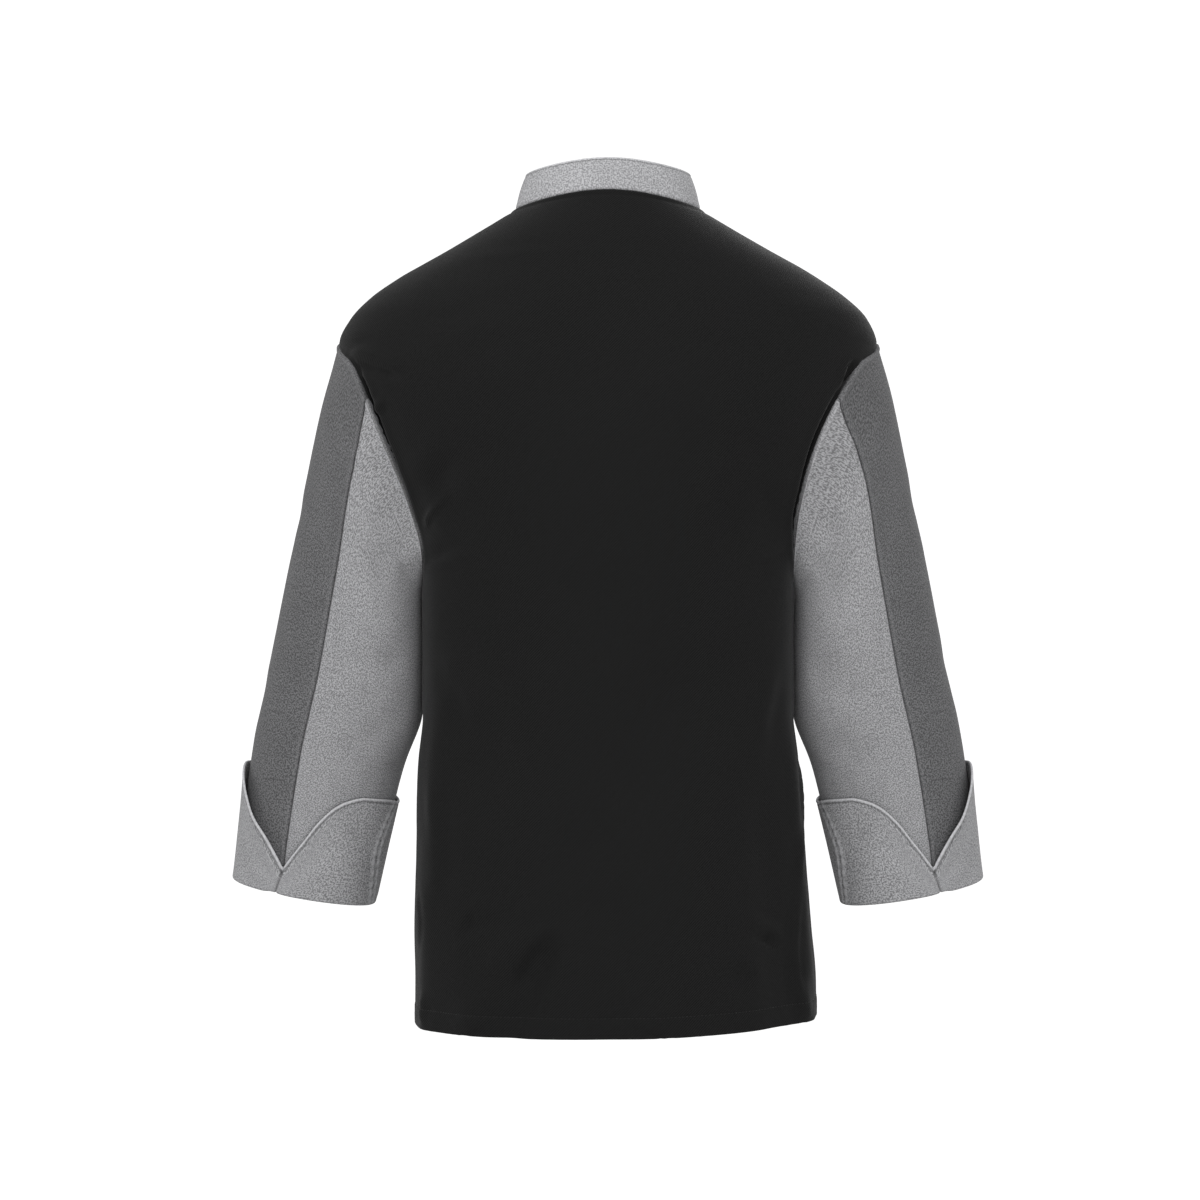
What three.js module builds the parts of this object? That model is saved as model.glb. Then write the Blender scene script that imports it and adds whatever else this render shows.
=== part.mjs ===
// Chef jacket, filled out as if worn, with no wearer. Millimetres, +Z up.
// The wearer faces -Y and the wearer's left is +X. The origin is the middle of the neck base,
// level with the side points of the neck seam.
import * as THREE from "three";

// Cloth and seams
const clothWall = 2;
const doubledWall = 2.4;
const seamGap = 0.3;
// Wider by what the neck seam's short straight edges cut off
const collarSeamGap = 0.55;

// Side seams and shoulder seams lie a little in front of the widest line
const seamY = -8;

// Armhole: a tall closed curve from the shoulder tip down to the underarm
const hem = -727;
const shoulderTip = -118;
const underarm = -336;
const armholeEndRadius = 62;
const armholeFrontCut = 8;

// The hem turns up towards the wearer's right, and a ring's front falls towards its middle
const rightHemLift = 8;
const hemLiftStart = -620;
const dropPower = 1.6;

// Closing: the edges of both fronts, and how the right front is pressed in under the left one
const flapEdgeX = -66;
const underEdgeX = 52;
const pressEase = 50;
const pressedDepth = 3;
const pressMargin = 12;

// Collar: its top line, and its rounded front ends
const collarTop = { half: 74, back: 61, front: 71, level: 32, rise: 8, drop: 68 };
const collarBulge = 1.2;
const collarGapAngle = 3;
const collarCorner = 13;

// Cuffs: where the notch lies round the sleeve and how high its bottom is, half of the seam's gap
// below it in radians, and how far that seam leans outwards at the fold, in degrees
const cuffNotchAngle = 76;
const notchBottom = 21;
const cuffSeamTurn = 0.0025;
const cuffSeamLean = 4;
const cuffSeamLeanReach = 14;

// How far the cuff stands off the sleeve at its fold and its edge, and more by the notch
const cuffStandAtFold = 0.7;
const cuffStandAtEdge = 1.7;
const notchStand = 3.4;
const notchReach = 32;
const sleeveLength = 500;
const sleeveRadius = 65;

// Buttons: one row near the outer front's edge
const buttonCount = 6;
const buttonX = flapEdgeX + 16;
const topButtonLevel = -50;
const lowButtonLevel = -620;
const buttonRadius = 8.5;
const buttonThickness = 3.4;
const buttonStand = 0.6;

// Body rings from the hem up to the neck. level is the height of a ring's side points.
// left and right are half widths, back and front are depths, square is the superellipse power.
// rise lifts a ring's back, drop lowers its front.
const bodyRings = [
  { level: -727, left: 173, right: 187, back: 134, front: 122, square: 2.5, rise: 0, drop: 0 },
  { level: -690, left: 173, right: 186, back: 133, front: 121, square: 2.5, rise: 0, drop: 0 },
  { level: -640, left: 174, right: 182, back: 130, front: 119, square: 2.5, rise: 0, drop: 0 },
  { level: -560, left: 172, right: 176, back: 125, front: 115, square: 2.45, rise: 0, drop: 0 },
  { level: -490, left: 169.5, right: 170.5, back: 120, front: 113, square: 2.4, rise: 0, drop: 0 },
  { level: -450, left: 166, right: 166, back: 119, front: 113.5, square: 2.4, rise: 0, drop: 0 },
  { level: -400, left: 165.3, right: 165.3, back: 119, front: 115, square: 2.35, rise: 0, drop: 0 },
  { level: -360, left: 165.7, right: 165.7, back: 121, front: 118, square: 2.32, rise: 0, drop: 0 },
  { level: -336, left: 166.4, right: 166.4, back: 122.6, front: 120.5, square: 2.3, rise: 0, drop: 0 },
  { level: -315, left: 168.6, right: 168.6, back: 124, front: 122.5, square: 2.29, rise: 0, drop: 0 },
  { level: -292, left: 173.5, right: 173.5, back: 125.6, front: 124.8, square: 2.27, rise: 0, drop: 0 },
  { level: -255, left: 189, right: 189, back: 128, front: 128, square: 2.24, rise: 0, drop: 0 },
  { level: -205, left: 219, right: 219, back: 129, front: 129, square: 2.2, rise: 0, drop: 1 },
  { level: -165, left: 238, right: 238, back: 128, front: 129, square: 2.16, rise: 0, drop: 4 },
  { level: -138, left: 244, right: 244, back: 126, front: 127, square: 2.13, rise: 0, drop: 9 },
  { level: -118, left: 241.5, right: 241.5, back: 123.5, front: 125, square: 2.1, rise: 0, drop: 14 },
  { level: -98, left: 231, right: 232.5, back: 120, front: 122, square: 2.1, rise: 0, drop: 22 },
  { level: -80, left: 213.5, right: 214.5, back: 115, front: 118, square: 2.05, rise: 0, drop: 31 },
  { level: -62, left: 188.5, right: 189, back: 108, front: 113, square: 2, rise: 0, drop: 41 },
  { level: -35, left: 142, right: 142, back: 94, front: 103, square: 2, rise: 4, drop: 56 },
  { level: -17, left: 111.5, right: 111.5, back: 81, front: 94, square: 2, rise: 8, drop: 66 },
  { level: 0, left: 83, right: 83, back: 68, front: 84, square: 2, rise: 11, drop: 75 },
];

// Where the armhole seams lie sideways at each height on the back: the jacket's left one sits wider
const armholeLine = [
  { level: -336, left: 165, right: 165 },
  { level: -310, left: 166.5, right: 165 },
  { level: -284, left: 171.5, right: 166.5 },
  { level: -257, left: 179.5, right: 171 },
  { level: -231, left: 190, right: 177.5 },
  { level: -205, left: 201, right: 187 },
  { level: -178, left: 212, right: 200 },
  { level: -151, left: 223, right: 216 },
  { level: -118, left: 241, right: 241 },
];

// Sleeve sections after the armhole: the outer and inner points seen from behind, the section's
// middle and half depth along Y, and how far its back lies lower than its middle
const sleeveSections = [
  { along: 0.14, outX: 258.5, outZ: -175, inX: 167.6, inZ: -352, midY: -13, depth: 64, sag: 0 },
  { along: 0.36, outX: 281, outZ: -282, inX: 167, inZ: -388, midY: -18, depth: 67, sag: 1 },
  { along: 0.58, outX: 304, outZ: -395, inX: 167.6, inZ: -449, midY: -25, depth: 68, sag: 1 },
  { along: 0.76, outX: 321.8, outZ: -479, inX: 186, inZ: -503, midY: -31, depth: 67, sag: 1 },
  { along: 1, outX: 339.2, outZ: -601, inX: 214.8, inZ: -624, midY: -42, depth: 66, sag: 1 },
];

// Half of the overarm strip's turn round the sleeve, in degrees from its outermost line
const stripSeam = [
  { along: 0, turn: 60 },
  { along: 0.05, turn: 65 },
  { along: 0.14, turn: 72.3 },
  { along: 0.3, turn: 73 },
  { along: 0.58, turn: 71 },
  { along: 0.8, turn: 72.5 },
  { along: 0.93, turn: 73.5 },
  { along: 1, turn: 76.5 },
];

// Height of the cuff's top edge above its fold, by the turn away from the notch in degrees
const outerFlapEdge = [
  { turn: 0, height: 21 },
  { turn: 8, height: 33.5 },
  { turn: 16, height: 45 },
  { turn: 28, height: 59 },
  { turn: 40, height: 76 },
  { turn: 52, height: 89 },
  { turn: 65, height: 98 },
  { turn: 80, height: 101 },
  { turn: 152, height: 100 },
];
const innerFlapEdge = [
  { turn: 0, height: 21 },
  { turn: 6, height: 34 },
  { turn: 13, height: 48.5 },
  { turn: 18, height: 60 },
  { turn: 24, height: 70.5 },
  { turn: 30, height: 78.5 },
  { turn: 39, height: 85 },
  { turn: 52, height: 89 },
  { turn: 85, height: 91.5 },
  { turn: 208, height: 100 },
];

// Largest folds of the body. angle and toAngle are degrees round the body from the wearer's left
// over the back, height is outwards, and width is measured across the fold, at the lever arm.
// A fold grows over its first part and runs out below its bottom, as parts of its length.
const foldLeverArm = 150;
const foldStart = 0.35;
const foldRunOut = 1.3;
const bodyFolds = [
  { name: "right side fold", angle: 163, toAngle: 161, top: -430, bottom: -735, width: 26, height: 4 },
  { name: "hollow beside it", angle: 146, toAngle: 148, top: -470, bottom: -730, width: 34, height: -4 },
  { name: "low diagonal trough", angle: 72, toAngle: 54, top: -630, bottom: -735, width: 28, height: -5 },
  { name: "low middle hollow", angle: 96, toAngle: 92, top: -560, bottom: -735, width: 60, height: -3 },
  { name: "left back hollow", angle: 42, toAngle: 55, top: -300, bottom: -470, width: 36, height: -4 },
  { name: "left side fold", angle: 24, toAngle: 22, top: -400, bottom: -735, width: 30, height: 3 },
  { name: "front hem, left", angle: 312, toAngle: 316, top: -560, bottom: -735, width: 40, height: -4 },
  { name: "front hem, right", angle: 222, toAngle: 216, top: -520, bottom: -735, width: 42, height: -4 },
  { name: "chest fold, left", angle: 318, toAngle: 300, top: -260, bottom: -420, width: 40, height: -4 },
  { name: "chest fold, right", angle: 214, toAngle: 223, top: -270, bottom: -430, width: 38, height: -4 },
];

// Rows over the shoulders
const shoulderLevels = [-98, -80, -62, -42, -20, 0];

// Grid counts, and how closely the columns keep to the armhole before they run straight
const edgePull = 3;
const bodyRowCount = 10;
const armholeRowCount = 12;
const backColumns = 20;
const frontLeftColumns = 14;
const frontRightColumns = 11;
const sleeveRowCount = 14;
const stripColumns = 8;
const underSleeveColumns = 16;
const cuffRowCount = 5;
const outerCuffColumns = 14;
const innerCuffColumns = 22;
const collarColumns = 44;
const collarRowCount = 4;

// Short steps along a surface, as parts of its turn or length, for its normals and directions
const turnStep = 0.01;
const alongStep = 0.01;

const radians = (degrees) => THREE.MathUtils.degToRad(degrees);
const degrees = (angle) => THREE.MathUtils.radToDeg(angle);
const clamp01 = (value) => Math.min(Math.max(value, 0), 1);
const mix = (from, to, part) => from + (to - from) * part;
const wrap = (angle) => Math.atan2(Math.sin(angle), Math.cos(angle));

function smoothStep(from, to, value) {
  const part = clamp01((value - from) / (to - from));
  return part * part * (3 - 2 * part);
}

// A slope between two others that keeps a curve from overshooting
function gentleSlope(before, after) {
  return before * after <= 0 ? 0 : (2 * before * after) / (before + after);
}

// A smooth curve through a table's column that never overshoots its points
function curveThrough(rows, key, column) {
  const slopes = rows.slice(1).map((row, i) => (row[column] - rows[i][column]) / (row[key] - rows[i][key]));
  const tangents = rows.map((row, i) => {
    const before = slopes[Math.max(i - 1, 0)];
    const after = slopes[Math.min(i, slopes.length - 1)];
    return gentleSlope(before, after);
  });
  return (value) => {
    let i = 0;
    while (i < rows.length - 2 && value > rows[i + 1][key]) i += 1;
    const step = rows[i + 1][key] - rows[i][key];
    const part = clamp01((value - rows[i][key]) / step);
    const square = part * part;
    const cube = square * part;
    return (
      (2 * cube - 3 * square + 1) * rows[i][column] +
      (cube - 2 * square + part) * step * tangents[i] +
      (3 * square - 2 * cube) * rows[i + 1][column] +
      (cube - square) * step * tangents[i + 1]
    );
  };
}

const ring = {};
for (const column of ["left", "right", "back", "front", "square", "rise", "drop"]) {
  ring[column] = curveThrough(bodyRings, "level", column);
}
const armholeX = {
  left: curveThrough(armholeLine, "level", "left"),
  right: curveThrough(armholeLine, "level", "right"),
};
const stripHalf = curveThrough(stripSeam, "along", "turn");

// Armhole height at a turn of -90 degrees at the underarm to 90 degrees at the shoulder tip
function armholeLevel(turn) {
  return mix(underarm, shoulderTip, (1 + Math.sin(turn)) / 2);
}

// Half width, depth and power of a body ring on one of its four quarters
function quarter(level, onBack, onLeft) {
  return {
    half: ring[onLeft ? "left" : "right"](level),
    depth: ring[onBack ? "back" : "front"](level),
    power: ring.square(level),
  };
}

// Depth of a side's armhole seam at a height: round at both ends, and between them where the body
// ring reaches the seam's sideways place
function armholeDepth(level, onBack, side) {
  const { half, depth, power } = quarter(level, onBack, true);
  const climb = (2 * level - underarm - shoulderTip) / (shoulderTip - underarm);
  const across = Math.sqrt(Math.max(0, 1 - climb ** 2));
  const round = seamY + (onBack ? armholeEndRadius : -armholeEndRadius) * across;
  const x = armholeX[side](level) - (onBack ? 0 : armholeFrontCut * across);
  const reach = depth * Math.max(0, 1 - (x / half) ** power) ** (1 / power);
  const between = smoothStep(-0.8, -0.4, climb) * (1 - smoothStep(0.8, 1, climb));
  return mix(round, onBack ? reach : -reach, between);
}

function foldHeight(angle, level) {
  const turn = (degrees(angle) + 360) % 360;
  let height = 0;
  for (const fold of bodyFolds) {
    const along = (level - fold.top) / (fold.bottom - fold.top);
    if (along < 0 || along > foldRunOut) continue;
    const middle = mix(fold.angle, fold.toAngle, along);
    const away = radians(turn - middle) * foldLeverArm;
    const fade = smoothStep(0, foldStart, along) * (1 - smoothStep(1, foldRunOut, along));
    height += fold.height * fade * Math.exp(-((away / (fold.width / 2)) ** 2));
  }
  return height;
}

// A point of the body's outer surface. angle 0 is the wearer's left, 90 degrees the back.
function bodyPoint(angle, level) {
  const cosine = Math.cos(angle);
  const sine = Math.sin(angle);
  const { half, depth, power } = quarter(level, sine >= 0, cosine >= 0);
  const reach = (Math.abs(cosine) / half) ** power + (Math.abs(sine) / depth) ** power;
  const radius = reach ** (-1 / power) + foldHeight(angle, level);
  const lift = ring.rise(level) * Math.max(sine, 0) ** 2;
  const fall = ring.drop(level) * Math.max(-sine, 0) ** dropPower;
  const hemLift = cosine < 0 ? rightHemLift * cosine ** 2 * smoothStep(hemLiftStart, hem, level) : 0;
  return new THREE.Vector3(radius * cosine, radius * sine, level + lift - fall + hemLift);
}

function bodyNormal(angle, level) {
  const low = Math.max(level - 1, hem);
  const high = Math.min(level + 1, 0);
  const round = bodyPoint(angle + turnStep, level).sub(bodyPoint(angle - turnStep, level));
  const up = bodyPoint(angle, high).sub(bodyPoint(angle, low));
  return round.cross(up).normalize();
}

// The angle at which a ring reaches a depth y, on the wearer's left or right
function angleAtDepth(level, y, onLeft) {
  const { half, depth, power } = quarter(level, y >= 0, onLeft);
  const x = half * (1 - (Math.abs(y) / depth) ** power) ** (1 / power);
  return onLeft ? Math.atan2(y, x) : Math.PI - Math.atan2(y, x);
}

// Rows of the body panels: a level, and the depths of the panel's side edges there
function bodyRows(onBack) {
  const rows = [];
  for (let i = 0; i < bodyRowCount; i += 1) {
    rows.push({ level: mix(hem, underarm, i / bodyRowCount), left: seamY, right: seamY, trim: true });
  }
  for (let i = 0; i <= armholeRowCount; i += 1) {
    const level = armholeLevel(radians(mix(-90, 90, i / armholeRowCount)));
    const left = armholeDepth(level, onBack, "left");
    const right = armholeDepth(level, onBack, "right");
    rows.push({ level, left, right, trim: i === 0 || i === armholeRowCount });
  }
  for (const level of shoulderLevels) rows.push({ level, left: seamY, right: seamY, trim: true });
  return rows;
}

// A closed solid between an outer and an inner grid of points
function solidBetween(outer, inner) {
  const rows = outer.length;
  const columns = outer[0].length;
  const last = columns - 1;
  const top = rows - 1;
  const positions = [];
  for (const grid of [outer, inner]) {
    for (const row of grid) for (const point of row) positions.push(point.x, point.y, point.z);
  }
  const outerAt = (i, j) => i * columns + j;
  const innerAt = (i, j) => rows * columns + i * columns + j;
  const index = [];
  const quad = (a, b, c, d) => index.push(a, b, c, a, c, d);
  for (let i = 0; i < top; i += 1) {
    for (let j = 0; j < last; j += 1) {
      quad(outerAt(i, j), outerAt(i, j + 1), outerAt(i + 1, j + 1), outerAt(i + 1, j));
      quad(innerAt(i, j), innerAt(i + 1, j), innerAt(i + 1, j + 1), innerAt(i, j + 1));
    }
    quad(outerAt(i, 0), outerAt(i + 1, 0), innerAt(i + 1, 0), innerAt(i, 0));
    quad(outerAt(i + 1, last), outerAt(i, last), innerAt(i, last), innerAt(i + 1, last));
  }
  for (let j = 0; j < last; j += 1) {
    quad(outerAt(0, j + 1), outerAt(0, j), innerAt(0, j), innerAt(0, j + 1));
    quad(outerAt(top, j), outerAt(top, j + 1), innerAt(top, j + 1), innerAt(top, j));
  }
  return facingOut(positions, index);
}

// Turns the faces round where the solid's signed volume is negative
function facingOut(positions, index) {
  const corner = (i) => new THREE.Vector3().fromArray(positions, 3 * index[i]);
  let volume = 0;
  for (let i = 0; i < index.length; i += 3) volume += corner(i).dot(corner(i + 1).cross(corner(i + 2)));
  if (volume < 0) {
    for (let i = 0; i < index.length; i += 3) [index[i + 1], index[i + 2]] = [index[i + 2], index[i + 1]];
  }
  const geometry = new THREE.BufferGeometry();
  geometry.setAttribute("position", new THREE.Float32BufferAttribute(positions, 3));
  geometry.setIndex(index);
  geometry.computeVertexNormals();
  return geometry;
}

// A wall moved inwards from points with their normals
function wallFrom(grid, thickness) {
  const outer = grid.map((row) => row.map(({ point }) => point));
  const movedIn = ({ point, normal }) => point.clone().addScaledVector(normal, -thickness);
  const inner = grid.map((row) => row.map(movedIn));
  return solidBetween(outer, inner);
}

// A point on the body, moved inwards where one front lies under the other
function bodySpot(angle, level, pressedIn) {
  const normal = bodyNormal(angle, level);
  const point = bodyPoint(angle, level).addScaledVector(normal, -pressedIn);
  return { point, normal };
}

// Half of a seam's gap, as an angle round the body
function edgeShift(angle, level) {
  const point = bodyPoint(angle, level);
  return seamGap / 2 / Math.hypot(point.x, point.y);
}

function backPanel() {
  const grid = bodyRows(true).map(({ level, left: leftDepth, right: rightDepth, trim }) => {
    const left = angleAtDepth(level, leftDepth, true);
    const right = angleAtDepth(level, rightDepth, false);
    const shift = trim ? edgeShift(left, level) : 0;
    const row = [];
    for (let j = 0; j <= backColumns; j += 1) {
      const part = j / backColumns;
      const angle = mix(angleAtDepth(level, seamY, true), angleAtDepth(level, seamY, false), part);
      const leftPull = (left + shift - angleAtDepth(level, seamY, true)) * (1 - part) ** edgePull;
      const rightPull = (right - shift - angleAtDepth(level, seamY, false)) * part ** edgePull;
      row.push(bodySpot(angle + leftPull + rightPull, level, 0));
    }
    return row;
  });
  return wallFrom(grid, clothWall);
}

// The angle at which a front ring reaches a sideways place x
function frontEdgeAngle(level, x) {
  let angle = 1.5 * Math.PI;
  for (let pass = 0; pass < 12; pass += 1) {
    const point = bodyPoint(angle, level);
    angle -= (point.x - x) / Math.hypot(point.x, point.y);
  }
  return angle;
}

function frontLeftPanel() {
  const grid = bodyRows(false).map(({ level, left, trim }) => {
    const side = 2 * Math.PI + angleAtDepth(level, left, true);
    const edge = frontEdgeAngle(level, flapEdgeX);
    const shift = trim ? edgeShift(side, level) : 0;
    const row = [];
    for (let j = 0; j <= frontLeftColumns; j += 1) {
      const part = j / frontLeftColumns;
      const seam = 2 * Math.PI + angleAtDepth(level, seamY, true);
      row.push(bodySpot(mix(edge, seam, part) + (side - shift - seam) * part ** edgePull, level, 0));
    }
    return row;
  });
  return wallFrom(grid, clothWall);
}

function frontRightPanel() {
  const grid = bodyRows(false).map(({ level, right, trim }) => {
    const side = angleAtDepth(level, right, false);
    const edge = frontEdgeAngle(level, underEdgeX);
    const shift = trim ? edgeShift(side, level) : 0;
    const row = [];
    for (let j = 0; j <= frontRightColumns; j += 1) {
      const part = j / frontRightColumns;
      const seam = angleAtDepth(level, seamY, false);
      const angle = mix(seam, edge, part) + (side + shift - seam) * (1 - part) ** edgePull;
      const x = bodyPoint(angle, level).x;
      const pressed = pressedDepth * smoothStep(flapEdgeX - pressEase, flapEdgeX - pressMargin, x);
      row.push(bodySpot(angle, level, pressed));
    }
    return row;
  });
  return wallFrom(grid, clothWall);
}

// Where a second piece starts at a seam. onward points over the seam in the first piece's
// surface, leaving is the way the second piece goes, and both walls stay clear of each other.
function seamStart(point, normal, onward, leaving, gap) {
  const turn = Math.atan2(leaving.dot(normal), leaving.dot(onward));
  const bend = turn < -Math.PI / 2 ? Math.PI : Math.max(0, turn);
  const start = point
    .clone()
    .addScaledVector(onward, gap * Math.SQRT2 * Math.cos(bend / 2))
    .addScaledVector(normal, gap * Math.SQRT2 * Math.sin(bend / 2));
  const facing = normal.clone().multiplyScalar(Math.cos(bend)).addScaledVector(onward, -Math.sin(bend));
  return { point: start, normal: facing };
}

// A point of a side's armhole seam, by the turn round the sleeve: 0 outermost, 90 degrees at the
// back. Both sides are worked out on the wearer's left, and the right one is mirrored later.
function armholeSpot(turn, side) {
  const fromUnderarm = Math.PI / 2 - Math.abs(turn);
  const level = armholeLevel(fromUnderarm);
  const angle = angleAtDepth(level, armholeDepth(level, turn >= 0, side), true);
  return { point: bodyPoint(angle, level), normal: bodyNormal(angle, level) };
}

function sectionPoint(section, turn) {
  const cosine = Math.cos(turn);
  const sine = Math.sin(turn);
  return new THREE.Vector3(
    mix(section.inX, section.outX, (1 + cosine) / 2),
    section.midY + section.depth * sine,
    mix(section.inZ, section.outZ, (1 + cosine) / 2) - section.sag * sine
  );
}

// A point of a sleeve's outer surface, along a smooth curve through the sections
function sleevePoint(turn, along, side) {
  const wrapped = wrap(turn);
  const stations = [0, ...sleeveSections.map((section) => section.along)];
  const points = sleeveSections.map((section) => sectionPoint(section, wrapped));
  points.unshift(armholeSpot(wrapped, side).point);
  const slopes = points.slice(1).map((point, i) => {
    return point.clone().sub(points[i]).divideScalar(stations[i + 1] - stations[i]);
  });
  const tangents = points.map((point, i) => {
    const before = slopes[Math.max(i - 1, 0)];
    const after = slopes[Math.min(i, slopes.length - 1)];
    return new THREE.Vector3(
      gentleSlope(before.x, after.x),
      gentleSlope(before.y, after.y),
      gentleSlope(before.z, after.z)
    );
  });
  let i = 0;
  while (i < stations.length - 2 && along > stations[i + 1]) i += 1;
  const step = stations[i + 1] - stations[i];
  const part = clamp01((along - stations[i]) / step);
  const square = part * part;
  const cube = square * part;
  return new THREE.Vector3()
    .addScaledVector(points[i], 2 * cube - 3 * square + 1)
    .addScaledVector(tangents[i], (cube - 2 * square + part) * step)
    .addScaledVector(points[i + 1], 3 * square - 2 * cube)
    .addScaledVector(tangents[i + 1], (cube - square) * step);
}

function sleeveNormal(turn, along, side) {
  const round = sleevePoint(turn + turnStep, along, side).sub(sleevePoint(turn - turnStep, along, side));
  const down = sleevePoint(turn, Math.min(along + alongStep, 1), side);
  down.sub(sleevePoint(turn, Math.max(along - alongStep, 0), side));
  return down.cross(round).normalize();
}

// The sleeve's first points, set against the body's armhole edge
function sleeveStart(turn, side) {
  const spot = armholeSpot(wrap(turn), side);
  const nextTurn = Math.PI / armholeRowCount;
  const seamWay = armholeSpot(wrap(turn + nextTurn), side).point;
  seamWay.sub(armholeSpot(wrap(turn - nextTurn), side).point);
  const onward = seamWay.clone().cross(spot.normal).normalize();
  const panelMiddle = new THREE.Vector3(0, 0, spot.point.z - sleeveRadius);
  if (onward.dot(spot.point.clone().sub(panelMiddle)) < 0) onward.negate();
  const leaving = sleevePoint(turn, 3 * alongStep, side).sub(spot.point).normalize();
  return seamStart(spot.point, spot.normal, onward, leaving, seamGap);
}

// A stretch of a sleeve between two seams, each given as its turn by the part of the length
function sleevePanel(fromTurn, toTurn, columns, side) {
  const grid = [];
  for (let i = 0; i <= sleeveRowCount; i += 1) {
    const along = i / sleeveRowCount;
    const halfGap = seamGap / 2 / (i === 0 ? 2 * sleeveRadius : sleeveRadius);
    const from = radians(fromTurn(along)) + halfGap;
    const to = radians(toTurn(along)) - halfGap;
    const row = [];
    for (let j = 0; j <= columns; j += 1) {
      const turn = mix(from, to, j / columns);
      if (i === 0) row.push(sleeveStart(turn, side));
      else row.push({ point: sleevePoint(turn, along, side), normal: sleeveNormal(turn, along, side) });
    }
    grid.push(row);
  }
  return wallFrom(grid, clothWall);
}

const stripPanel = (side) =>
  sleevePanel((along) => -stripHalf(along), stripHalf, stripColumns, side);
const underSleevePanel = (side) =>
  sleevePanel(stripHalf, (along) => 360 - stripHalf(along), underSleeveColumns, side);

// Mirrors a geometry made for the wearer's left onto the right, with its faces turned back out
function mirrored(geometry) {
  const positions = Array.from(geometry.attributes.position.array);
  for (let i = 0; i < positions.length; i += 3) positions[i] = -positions[i];
  return facingOut(positions, Array.from(geometry.index.array).reverse());
}

// The turn of a cuff's point at a height: the seam below the notch leans outwards at the fold
function cuffTurn(turn, height) {
  const near = Math.exp(-(((degrees(turn) - cuffNotchAngle) / cuffSeamLeanReach) ** 2));
  return turn - radians(cuffSeamLean) * near * clamp01(1 - height / notchBottom);
}

// A turned-back cuff: a wall outside the sleeve, with a fold that closes under the sleeve's end
function cuffPiece(fromTurn, toTurn, columns, edgeHeight, side) {
  const outer = [];
  const inner = [];
  for (let i = 0; i <= cuffRowCount + 1; i += 1) {
    outer.push([]);
    inner.push([]);
  }
  for (let j = 0; j <= columns; j += 1) {
    const turn = mix(radians(fromTurn) + cuffSeamTurn, radians(toTurn) - cuffSeamTurn, j / columns);
    const endTurn = cuffTurn(turn, 0);
    const endPoint = sleevePoint(endTurn, 1, side);
    const endNormal = sleeveNormal(endTurn, 1, side);
    const down = endPoint.clone().sub(sleevePoint(endTurn, 1 - alongStep, side)).normalize();
    const height = edgeHeight(degrees(turn));
    const lipTop = endPoint.clone().addScaledVector(down, seamGap);
    const lipBottom = lipTop.clone().addScaledVector(down, doubledWall);
    outer[0].push(lipBottom.clone().addScaledVector(endNormal, -clothWall));
    inner[0].push(lipTop.clone().addScaledVector(endNormal, -clothWall));
    for (let i = 0; i <= cuffRowCount; i += 1) {
      const part = i / cuffRowCount;
      const nearNotch = Math.exp(-(((degrees(turn) - cuffNotchAngle) / notchReach) ** 2));
      const stand = mix(cuffStandAtFold, cuffStandAtEdge + notchStand * nearNotch, part * part);
      if (i === 0) {
        outer[1].push(lipBottom.clone().addScaledVector(endNormal, stand + doubledWall));
        inner[1].push(lipTop.clone().addScaledVector(endNormal, stand));
        continue;
      }
      const along = 1 - (height * part) / sleeveLength;
      const pointTurn = cuffTurn(turn, height * part);
      const point = sleevePoint(pointTurn, along, side);
      const normal = sleeveNormal(pointTurn, along, side);
      outer[i + 1].push(point.clone().addScaledVector(normal, stand + doubledWall));
      inner[i + 1].push(point.clone().addScaledVector(normal, stand));
    }
  }
  return solidBetween(outer, inner);
}

const outerEdgeHeight = curveThrough(outerFlapEdge, "turn", "height");
const innerEdgeHeight = curveThrough(innerFlapEdge, "turn", "height");

function outerCuff(side) {
  const height = (turn) => outerEdgeHeight(cuffNotchAngle - turn);
  return cuffPiece(-cuffNotchAngle, cuffNotchAngle, outerCuffColumns, height, side);
}

function innerCuff(side) {
  const height = (turn) => innerEdgeHeight(turn - cuffNotchAngle);
  return cuffPiece(cuffNotchAngle, 360 - cuffNotchAngle, innerCuffColumns, height, side);
}

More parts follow.
